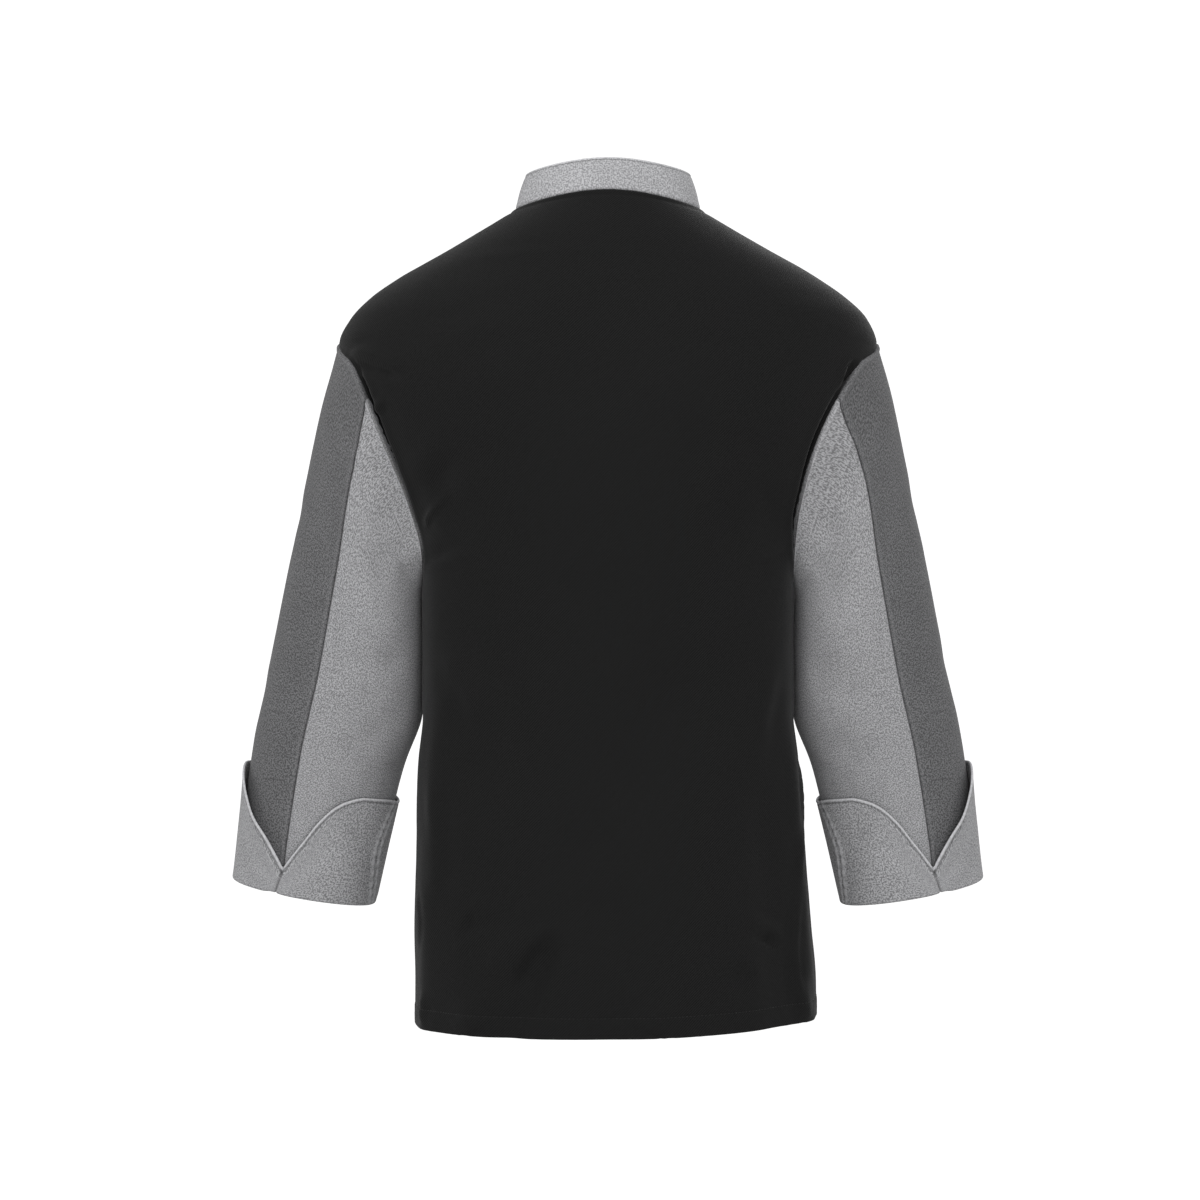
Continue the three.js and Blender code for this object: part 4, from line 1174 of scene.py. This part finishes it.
def back_piece():
    left, left_seam = side_angle(True, True)
    right, right_seam = side_angle(True, False)
    part = edge_spaced(BACK_ACROSS, spacing=BODY_STEP) / BACK_ACROSS
    plain = mix(left_seam[:, None], right_seam[:, None], part)
    angles = plain + (left - left_seam)[:, None] * (1 - part) ** 3
    angles = angles + (right - right_seam)[:, None] * part**3
    outer, wall, tone = finished_body(angles)
    plain_rows = ~IN_ARMHOLE[:, None]
    for edge in (left, right):
        outer = dipped(outer, np.where(plain_rows, seam_distance(angles, edge), 99))
    piece, normals = shell("back_cloth", outer, wall, black_twill, tone)
    sewn(piece, "back")
    return outer, normals


def dipped(outer, distance):
    """The cloth with a seam's dip pressed into it, by the distance from the seam."""
    normals, _ = grid_normals(outer)
    return outer + normals * seam_ditch(distance)[..., None]


def front_piece(name, node, on_left, edge_x):
    """One front: the left one lies on top, and the right one is pressed under it."""
    side, seam = side_angle(False, on_left)
    if on_left:
        side, seam = side + 2 * np.pi, seam + 2 * np.pi
    edge = angle_at_x(LEVELS, np.full(len(LEVELS), float(edge_x)), False)
    width = LEFT_FRONT_ACROSS if on_left else RIGHT_FRONT_ACROSS
    stitched = (FRONT_STITCH_INSET,) if on_left else ()
    part = edge_spaced(width, extra=stitched, spacing=BODY_STEP) / width
    pull = part if on_left else 1 - part
    start, end = (edge, seam) if on_left else (seam, edge)
    angles = mix(start[:, None], end[:, None], part) + (side - seam)[:, None] * pull**3
    levels = LEVELS[:, None] + 0 * angles
    pressed = 0.0
    if not on_left:
        x = body_point(angles, levels)[..., 0]
        pressed = PRESSED_DEPTH * smooth_step(FLAP_EDGE_X - PRESS_EASE, FLAP_EDGE_X - PRESS_MARGIN, x)
    outer, wall, tone = finished_body(angles, pressed)
    plain_rows = ~IN_ARMHOLE[:, None]
    outer = dipped(outer, np.where(plain_rows, seam_distance(angles, side), 99))
    if on_left:
        from_edge = seam_distance(angles, edge)
        normals, _ = grid_normals(outer)
        groove = -0.5 * bump(from_edge - FRONT_STITCH_INSET, 0.8)
        groove = groove + 0.3 * (1 - smooth_step(5, 8, from_edge))
        outer = outer + normals * groove[..., None]
        wall = np.where(from_edge < FRONT_TURN, TURNED_EDGE, wall)
    piece, normals = shell(name, outer, wall, black_twill, tone)
    sewn(piece, node)
    return outer, normals, part * width


back_outer, back_normals = back_piece()
left_outer, left_normals, left_places = front_piece(
    "left_front_cloth", "front_left", True, FLAP_EDGE_X
)
right_outer, right_normals, _ = front_piece(
    "right_front_cloth", "front_right", False, UNDER_EDGE_X
)


def hem_stitches():
    """Stitches round the hem and down the edge of the outer front."""
    row = int(np.argmin(np.abs(LEVELS - HEM - HEM_TURN)))
    rows = []
    for outer, normals in (
        (back_outer, back_normals),
        (left_outer, left_normals),
        (right_outer, right_normals),
    ):
        rows.append(stitch_row(outer[row], normals[row]))
    column = int(np.argmin(np.abs(left_places - FRONT_STITCH_INSET)))
    rows.append(stitch_row(left_outer[:, column], left_normals[:, column]))
    trim(thread_object("black_edge_stitches", rows, black_thread))


hem_stitches()


# Sleeves


def sleeve_relief(points, normals, turns, alongs, side):
    """Creases and swells of a sleeve, calm under the arm and in the cuff, and its armhole seam."""
    height = 0.8 * cloth_swells(points, 31 if side == "left" else 47)
    for seed, (_, start, middle, end, width, rise) in enumerate(SLEEVE_CREASES[side]):
        line = three_point_line(start, middle, end)
        path = sleeve_point(np.radians(line[:, 0]), line[:, 1], side)
        height = height + crease_relief(points, normals, path, width, rise, 0.15, seed)
    degrees = np.abs(np.degrees(wrap(turns)))
    under_arm = smooth_step(125, 160, degrees) * (1 - smooth_step(0.5, 0.62, alongs))
    in_cuff = smooth_step(0.74, 0.8, alongs)
    height = mix(height, np.minimum(height, 0) * 0.4, np.maximum(under_arm, in_cuff))
    from_armhole = alongs * SLEEVE_LENGTH
    roll = 1.3 * bump(from_armhole - 3, 2.3) - 1.3 * bump(from_armhole, 0.9)
    gathers = puckers(from_armhole, np.degrees(turns) * 1.2, 0.35, 4 if side == "left" else 7, 10)
    return height + roll * (1 - 0.8 * under_arm) + gathers * (1 - under_arm)


def sleeve_piece(name, node, side, start_turn, end_turn, width, raised, material):
    """A stretch of one sleeve between two seams, each given by its turn along the sleeve."""
    part = edge_spaced(width) / width
    along = edge_spaced(SLEEVE_LENGTH, True, False) / SLEEVE_LENGTH
    start, end = np.radians(start_turn(along)), np.radians(end_turn(along))
    turns = mix(start[:, None], end[:, None], part[None, :])
    alongs = along[:, None] + 0 * turns
    base = sleeve_point(turns, alongs, side)
    normals, _ = grid_normals(base)
    height = sleeve_relief(base, normals, turns, alongs, side)
    across = lengths_along(base[len(base) // 2])
    from_seam = np.minimum(across, across[-1] - across)[None, :] + 0 * alongs
    # The tone here is painted light: a painted highlight beside the raised strip's seam and along the roll
    # under the armhole seam, and painted shade in the under sleeve's seam ditch.
    if raised:
        height = height + 0.5 * (1 - smooth_step(3, 8, from_seam)) - 1.3 * bump(from_seam, 0.7)
        tone = 0.3 * bump(from_seam - 2.2, 1.2)
    else:
        height = height - 1.7 * bump(from_seam, 1.1)
        tone = -0.9 * bump(from_seam, 1.1)
    tone = tone + 0.35 * bump(alongs * SLEEVE_LENGTH - 2.8, 1.8)
    outer = base + normals * height[..., None]
    into_body = -armhole_normal(turns[0], side)
    turned_in = [outer[0] + into_body * deep for deep in SEAM_ALLOWANCE]
    outer = np.concatenate([turned_in, outer])
    # The turned-in seam allowance is painted dark all over, as painted shade.
    tone = np.concatenate([np.full((len(turned_in), len(part)), -1.0), tone])
    if side == "right":
        outer = outer * (-1, 1, 1)
    piece, _ = shell(name, outer, CLOTH, material, tone)
    sewn(piece, node)


for side in ("left", "right"):
    sleeve_piece(
        f"overarm_strip_{side}",
        f"sleeve_top_{side}",
        side,
        lambda along: -strip_half(along),
        strip_half,
        STRIP_ACROSS,
        True,
        dark_grey,
    )
    sleeve_piece(
        f"under_sleeve_{side}",
        f"sleeve_under_{side}",
        side,
        strip_half,
        lambda along: 360 - strip_half(along),
        UNDER_SLEEVE_ACROSS,
        False,
        light_grey,
    )


# Cuffs


def cuff_turn(degrees, heights):
    """Turn of a cuff's point: below the notch the seam leans outwards towards the fold."""
    lean = CUFF_SEAM_LEAN * bump(degrees - NOTCH_TURN, CUFF_SEAM_LEAN_REACH)
    return np.radians(degrees - lean * clamp01(1 - heights / NOTCH_BOTTOM))


def cuff_stand(degrees, share, spring):
    """Gap between sleeve and cuff, from the fold to the free edge, which springs away."""
    most, centre, reach = spring
    edge = CUFF_STAND_AT_EDGE + most * bump(degrees - centre, reach)
    return mix(CUFF_STAND_AT_FOLD, edge, share**2)


def cuff_rows(edge, steep):
    """Heights of the cuff's rows above the fold, one set for each column: even below, fine on top."""
    insets = np.array(CUFF_EDGE_ROWS)[:, None]
    top = edge[None, :] - np.minimum(insets * steep, edge[None, :] * insets / 12)
    low = np.linspace(0, 1, CUFF_LOW_ROWS + 1)[:-1, None] * top[-1][None, :]
    return np.concatenate([low, top[::-1]])


def cuff_piece(name, node, side, start, end, width, edge_height, spring):
    """One flap of a turned-back cuff: inside run, rounded fold, outside and top edge."""
    part = edge_spaced(width) / width
    degrees = mix(start, end, part)
    edge = edge_height(np.abs(degrees - NOTCH_TURN))
    end_turns = cuff_turn(degrees, 0)
    at_end = np.ones(len(degrees))
    end_point = sleeve_point(end_turns, at_end, side)
    end_normal = sleeve_normal(end_turns, at_end, side)
    arc = lengths_along(end_point)
    steep = np.sqrt(1 + np.gradient(edge, arc) ** 2)[None, :]
    heights = cuff_rows(edge, steep)
    share = heights / edge[None, :]
    wide = cuff_turn(degrees[None, :], heights)
    alongs = 1 - heights / SLEEVE_LENGTH
    normals = sleeve_normal(wide, alongs, side)
    stand = cuff_stand(degrees[None, :], share, spring)
    wall_points = sleeve_point(wide, alongs, side) + normals * (stand + CUFF_WALL)[..., None]
    down = unit(end_point - sleeve_point(end_turns, 0.98 * at_end, side))
    outside = CUFF_STAND_AT_FOLD + CUFF_WALL
    middle = (outside + CUFF_INSIDE) / 2
    radius = (outside - CUFF_INSIDE) / 2
    drop = (LIP_RADIUS * (1 - 0.5 * bump(degrees - NOTCH_TURN + CUFF_SEAM_LEAN, 7)))[:, None]
    lip = []
    for height in np.linspace(INSIDE_RUN, 3, 5):
        lip.append(end_point - down * height + end_normal * CUFF_INSIDE)
    for angle in np.linspace(np.pi, 0, LIP_STEPS):
        reach = middle + radius * np.cos(angle)
        lip.append(end_point + down * drop * np.sin(angle) + end_normal * reach)
    base = np.concatenate([np.stack(lip[:-1]), wall_points])
    lip_rows = len(lip) - 1
    outer_normals, _ = grid_normals(base)
    if np.sum(outer_normals[lip_rows:] * normals) < 0:
        outer_normals = -outer_normals
    inset = (edge[None, :] - heights) / steep
    across = np.minimum(arc, arc[-1] - arc)[None, :]
    relief, tone = np.zeros(base.shape[:2]), np.zeros(base.shape[:2])
    relief[lip_rows:], tone[lip_rows:] = cuff_relief(wall_points, degrees, heights, share, inset, side)
    relief = relief - 1.0 * bump(across, 0.9)
    # Painted shade along the flap's seams at both of its ends.
    tone = tone - 0.7 * bump(across, 0.9)
    outer = base + outer_normals * relief[..., None]
    if side == "right":
        outer = outer * (-1, 1, 1)
    piece, shell_normals = shell(name, outer, DOUBLED, cuff_grey, tone)
    sewn(piece, node)
    stitches = len(base) - 1 - CUFF_EDGE_ROWS.index(CUFF_STITCH_INSET)
    return outer[stitches], shell_normals[stitches]


def cuff_relief(points, degrees, heights, share, inset, side):
    """Relief and tone of a cuff's outside: stitch line, pressed edge, underarm seam, soft swells."""
    relief = -0.5 * bump(inset - CUFF_STITCH_INSET, 0.8) + 0.25 * bump(inset - 0.9, 1)
    # Painted highlight on the pressed top edge, and painted shade in the stitch line.
    tone = 1 - smooth_step(0.5, 1.5, inset) - 0.8 * bump(inset - CUFF_STITCH_INSET, 0.7)
    relief = relief + 0.6 * cloth_swells(points, 61 if side == "left" else 83) * smooth_step(0, 8, heights)
    away = np.radians(degrees[None, :] - curve_through(CUFF_SEAM_LINE)(share)) * 66
    relief = relief - 1.3 * bump(away, 1) + 1.1 * bump(away - 3.6, 2.2) + 1.1 * bump(away + 3.8, 2.4)
    ridges = bump(np.abs(away) - 3.7, 2.3)
    tucks = np.sin(heights / 1.3 + 0.9 * np.sin(heights / 9))
    relief = relief + 0.4 * tucks * bump(np.abs(away) - 3, 3)
    # Painted highlight on the ridges beside the underarm seam, varying with the tucks, and painted shade in
    # the seam itself.
    return relief, tone + (1.2 + 0.5 * tucks) * ridges - 0.9 * bump(away, 0.7)


for side in ("left", "right"):
    lines = [
        cuff_piece(
            f"cuff_outer_flap_{side}",
            f"cuff_outer_{side}",
            side,
            -NOTCH_TURN,
            NOTCH_TURN,
            OUTER_FLAP_ACROSS,
            outer_flap_edge,
            OUTER_FLAP_SPRING,
        ),
        cuff_piece(
            f"cuff_inner_flap_{side}",
            f"cuff_inner_{side}",
            side,
            NOTCH_TURN,
            360 - NOTCH_TURN,
            INNER_FLAP_ACROSS,
            inner_flap_edge,
            INNER_FLAP_SPRING,
        ),
    ]
    rows = [stitch_row(line, normals, 2.6, 0.8, 0.45) for line, normals in lines]
    trim(thread_object(f"cuff_stitches_{side}", rows, grey_thread))


# Collar


def collar_piece():
    """A stand collar from the neck seam to its top line, with rounded front ends."""
    top = COLLAR_TOP
    start, end = np.radians(-90 + COLLAR_GAP_ANGLE), np.radians(270 - COLLAR_GAP_ANGLE)
    part = edge_spaced(COLLAR_ACROSS) / COLLAR_ACROSS
    angles = mix(start, end, part)
    cosine, sine = np.cos(angles), np.sin(angles)
    depth = np.where(sine >= 0, top["back"], top["front"])
    radius = 1 / np.hypot(cosine / top["half"], sine / depth)
    fall = top["drop"] * np.maximum(-sine, 0) ** DROP_POWER
    lift = top["rise"] * np.maximum(sine, 0) ** 2
    top_points = np.stack([radius * cosine, radius * sine, top["level"] + lift - fall], -1)
    base = body_point(angles, 0 * angles)
    rise = top_points - base
    tall = np.linalg.norm(rise, axis=-1)
    seam_way = np.gradient(base, axis=0)
    facing = unit(np.cross(seam_way, rise))
    to_end = np.minimum(part, 1 - part) * (end - start) * top["front"]
    short = np.maximum(0, COLLAR_CORNER - to_end)
    cut = COLLAR_CORNER - np.sqrt(np.maximum(0, COLLAR_CORNER**2 - short**2))
    stitched = COLLAR_TALL - COLLAR_STITCH_INSET
    places = edge_spaced(COLLAR_TALL, extra=(stitched,)) / COLLAR_TALL
    share = places[:, None] * (1 - cut / tall)[None, :]
    bulge = COLLAR_BULGE * np.sin(np.pi * share)
    points = base[None] + rise[None] * share[..., None] + facing[None] * bulge[..., None]
    normals, _ = grid_normals(points)
    below_top = (1 - places)[:, None] * COLLAR_TALL + 0 * share
    relief = -0.45 * bump(below_top - COLLAR_STITCH_INSET, 0.8) + 0.2 * bump(below_top - 0.8, 0.9)
    from_seam = places[:, None] * COLLAR_TALL + 0 * share
    relief = relief + seam_ditch(from_seam, 1.3, 1.3, 0.35) + 0.35 * cloth_swells(points, 101)
    outer = points + normals * relief[..., None]
    # Painted highlight along the top edge, and painted shade in the stitch line below it.
    tone = 1 - smooth_step(0.4, 1.8, below_top) - 0.8 * bump(below_top - COLLAR_STITCH_INSET - 0.2, 0.6)
    piece, shell_normals = shell("collar_band", outer, DOUBLED, collar_grey, tone)
    sewn(piece, "collar")
    row = int(np.argmin(np.abs(places * COLLAR_TALL - stitched)))
    rows = [stitch_row(outer[row], shell_normals[row], 2.4, 0.8, 0.4)]
    trim(thread_object("collar_stitches", rows, grey_thread))


collar_piece()


# Buttons


def nearest_spot(outer, normals, x, z):
    """The cloth's point nearest to a place seen from the front, and its normal."""
    flat = outer.reshape(-1, 3)
    spot = int(np.argmin((flat[:, 0] - x) ** 2 + (flat[:, 2] - z) ** 2))
    return flat[spot], normals.reshape(-1, 3)[spot]


def model_button():
    """One button at the origin: a dished disc with a rounded rim and four holes."""
    bpy.ops.object.select_all(action="DESELECT")
    radius, thick = BUTTON_RADIUS * MM, BUTTON_THICKNESS * MM
    bpy.ops.mesh.primitive_cylinder_add(vertices=40, radius=radius, depth=thick, location=(0, 0, thick / 2))
    button = bpy.context.object
    button.name = "button_form"
    bpy.ops.object.mode_set(mode="EDIT")
    bpy.ops.mesh.select_mode(type="FACE")
    bpy.ops.mesh.select_all(action="DESELECT")
    bpy.ops.object.mode_set(mode="OBJECT")
    for face in button.data.polygons:
        face.select = face.normal.z > 0.9
    bpy.ops.object.mode_set(mode="EDIT")
    bpy.ops.mesh.inset(thickness=2.1 * MM, depth=0)
    bpy.ops.mesh.inset(thickness=0.7 * MM, depth=-0.8 * MM)
    bpy.ops.object.mode_set(mode="OBJECT")
    for step in range(4):
        angle = math.pi / 4 + step * math.pi / 2
        place = (2 * MM * math.cos(angle), 2 * MM * math.sin(angle), thick / 2)
        bpy.ops.mesh.primitive_cylinder_add(vertices=16, radius=0.8 * MM, depth=3 * thick, location=place)
        drill = bpy.context.object
        cut = button.modifiers.new("hole", "BOOLEAN")
        cut.operation = "DIFFERENCE"
        cut.object = drill
        bpy.ops.object.select_all(action="DESELECT")
        bpy.context.view_layer.objects.active = button
        button.select_set(True)
        bpy.ops.object.modifier_apply(modifier=cut.name)
        bpy.data.objects.remove(drill, do_unlink=True)
    soften = button.modifiers.new("rounded edges", "BEVEL")
    soften.width = 0.45 * MM
    soften.segments = 3
    soften.angle_limit = math.radians(40)
    bpy.ops.object.modifier_apply(modifier=soften.name)
    bpy.ops.object.shade_smooth_by_angle(angle=math.radians(35))
    return button


def button_thread(spot, across, along, up):
    """Two short bars of thread between the holes, each of three strands."""
    rows = []
    for side in (-1, 1):
        for strand in (-0.35, 0, 0.35):
            middle = spot + across * (2 * side * 0.707 + strand) + up * (BUTTON_THICKNESS - 0.6)
            line = np.stack([middle + along * s for s in (-1.9, -1, 0, 1, 1.9)])
            rows.append(stitch_row(line, np.tile(up, (5, 1)), 3.7, 5, 0.42))
    return rows


def buttonhole_rows(spot, across, along, up):
    """Bars of thread all round a narrow slot under the button, fanned out at its ends."""
    half, pitch = 9.5, 0.62
    bars = []
    for side in (-1, 1):
        bars += [(across * place, along * side) for place in np.arange(-half, half, pitch)]
        for turn in np.radians(np.linspace(-75, 75, 6)):
            way = across * side * np.cos(turn) + along * np.sin(turn)
            bars.append((across * half * side, way))
    rows = []
    for place, way in bars:
        inner = spot + place + way * 0.36 + up * 0.15
        line = np.stack([inner, inner + way, inner + way * 1.9])
        rows.append(stitch_row(line, np.tile(up, (3, 1)), 1.8, 4, 0.4))
    return rows


def add_buttons():
    """The row of buttons on the outer front, with their thread and buttonholes."""
    form = model_button()
    hole_rows = []
    for i in range(BUTTON_COUNT):
        level = mix(TOP_BUTTON_LEVEL, LOW_BUTTON_LEVEL, i / (BUTTON_COUNT - 1))
        angle = angle_at_x(np.array([float(level)]), np.array([float(BUTTON_X)]), False)
        target = body_point(angle, np.array([float(level)]))[0]
        spot, up = nearest_spot(left_outer, left_normals, target[0], target[2])
        along = unit(np.array([0, 0, 1]) - up * up[2])
        across = np.cross(along, up)
        seat = spot + up * 0.35
        mesh = form.data.copy()
        places = np.empty(len(mesh.vertices) * 3)
        mesh.vertices.foreach_get("co", places)
        places = places.reshape(-1, 3)
        moved = places @ np.stack([across, along, up]) + seat * MM
        mesh.vertices.foreach_set("co", moved.ravel())
        mesh.materials.clear()
        mesh.materials.append(button_black)
        mesh.update()
        button = bpy.data.objects.new(f"jacket_button_{i + 1}", mesh)
        bpy.context.scene.collection.objects.link(button)
        trim(button)
        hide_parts(f"button_{i + 1}")
        thread = thread_object(
            f"button_thread_{i + 1}", button_thread(seat, across, along, up), black_thread
        )
        trim(thread)
        hole_rows += buttonhole_rows(spot, across, along, up)
    bpy.data.objects.remove(form, do_unlink=True)
    trim(thread_object("buttonhole_stitches", hole_rows, black_thread))


add_buttons()


# Studio: a plain pale floor that curves up on all sides, soft light, and the photograph's view


def studio_floor():
    """A wide floor with a curved rim, as one turned profile."""
    floor_level, reach, rim, tall = -1.45, 4.6, 1.6, 4.2
    profile = [(0.001, 0), (reach * 0.5, 0), (reach, 0)]
    for step in range(1, 13):
        angle = step / 12 * math.pi / 2
        profile.append((reach + rim * math.sin(angle), rim * (1 - math.cos(angle))))
    profile.append((reach + rim, tall))
    sides = 96
    vertices, faces = [], []
    for radius, height in profile:
        for k in range(sides):
            turn = 2 * math.pi * k / sides
            vertices.append((radius * math.cos(turn), radius * math.sin(turn), floor_level + height))
    for row in range(len(profile) - 1):
        for k in range(sides):
            a, b = row * sides + k, row * sides + (k + 1) % sides
            faces.append((a, b, b + sides, a + sides))
    faces.append(tuple(range(sides)))
    mesh = bpy.data.meshes.new("studio_floor")
    mesh.from_pydata(vertices, [], faces)
    for face in mesh.polygons:
        face.use_smooth = True
    material, _, shader = new_material("pale_floor", 0.9, 0.0)
    shader.inputs["Base Color"].default_value = (0.86, 0.86, 0.86, 1)
    shader.inputs["Emission Color"].default_value = (1, 1, 1, 1)
    shader.inputs["Emission Strength"].default_value = 0.62
    mesh.materials.append(material)
    floor = bpy.data.objects.new("studio_floor", mesh)
    bpy.context.scene.collection.objects.link(floor)
    floor.visible_diffuse = False
    floor.visible_glossy = False
    floor.visible_shadow = False


def soft_light(name, place, target, size, power):
    """A large square lamp aimed at a place."""
    lamp = bpy.data.lights.new(name, "AREA")
    lamp.shape = "SQUARE"
    lamp.size = size
    lamp.energy = power
    light = bpy.data.objects.new(name, lamp)
    bpy.context.scene.collection.objects.link(light)
    way = np.array(target, float) - np.array(place, float)
    light.location = place
    flat = math.hypot(way[0], way[1])
    light.rotation_euler = (math.atan2(flat, -way[2]), 0, math.atan2(way[1], way[0]) - math.pi / 2)
    light.visible_camera = False


def studio_light():
    world = bpy.data.worlds.new("studio")
    bpy.context.scene.world = world
    world.use_nodes = True
    background = world.node_tree.nodes["Background"]
    background.inputs["Color"].default_value = (1, 1, 1, 1)
    background.inputs["Strength"].default_value = 0.5
    middle = (0, 0, -0.35)
    soft_light("key_behind", (0.9, 2.3, 1.7), middle, 1.1, 36)
    soft_light("fill_behind", (-0.5, 3.3, -0.7), middle, 1.8, 34)
    soft_light("side_left", (2.3, -0.5, 0.0), middle, 1.4, 8)
    soft_light("side_right", (-2.3, -0.5, 0.0), middle, 1.4, 8)
    soft_light("key_front", (-0.9, -2.6, 1.3), middle, 2.2, 30)


def photo_camera():
    """Level with the jacket's middle, 2.9 m behind it, with a frame 1.08 m wide at the jacket."""
    distance, frame_width, sensor = 2.9, 1.08, 36.0
    data = bpy.data.cameras.new("photo_view")
    data.sensor_width = sensor
    data.lens = sensor * distance / frame_width
    camera = bpy.data.objects.new("photo_view", data)
    bpy.context.scene.collection.objects.link(camera)
    camera.location = (0.0072, distance, -0.35)
    camera.rotation_euler = (math.pi / 2, 0, math.pi)
    bpy.context.scene.camera = camera


studio_floor()
studio_light()
photo_camera()
bpy.context.scene.view_settings.view_transform = "Standard"
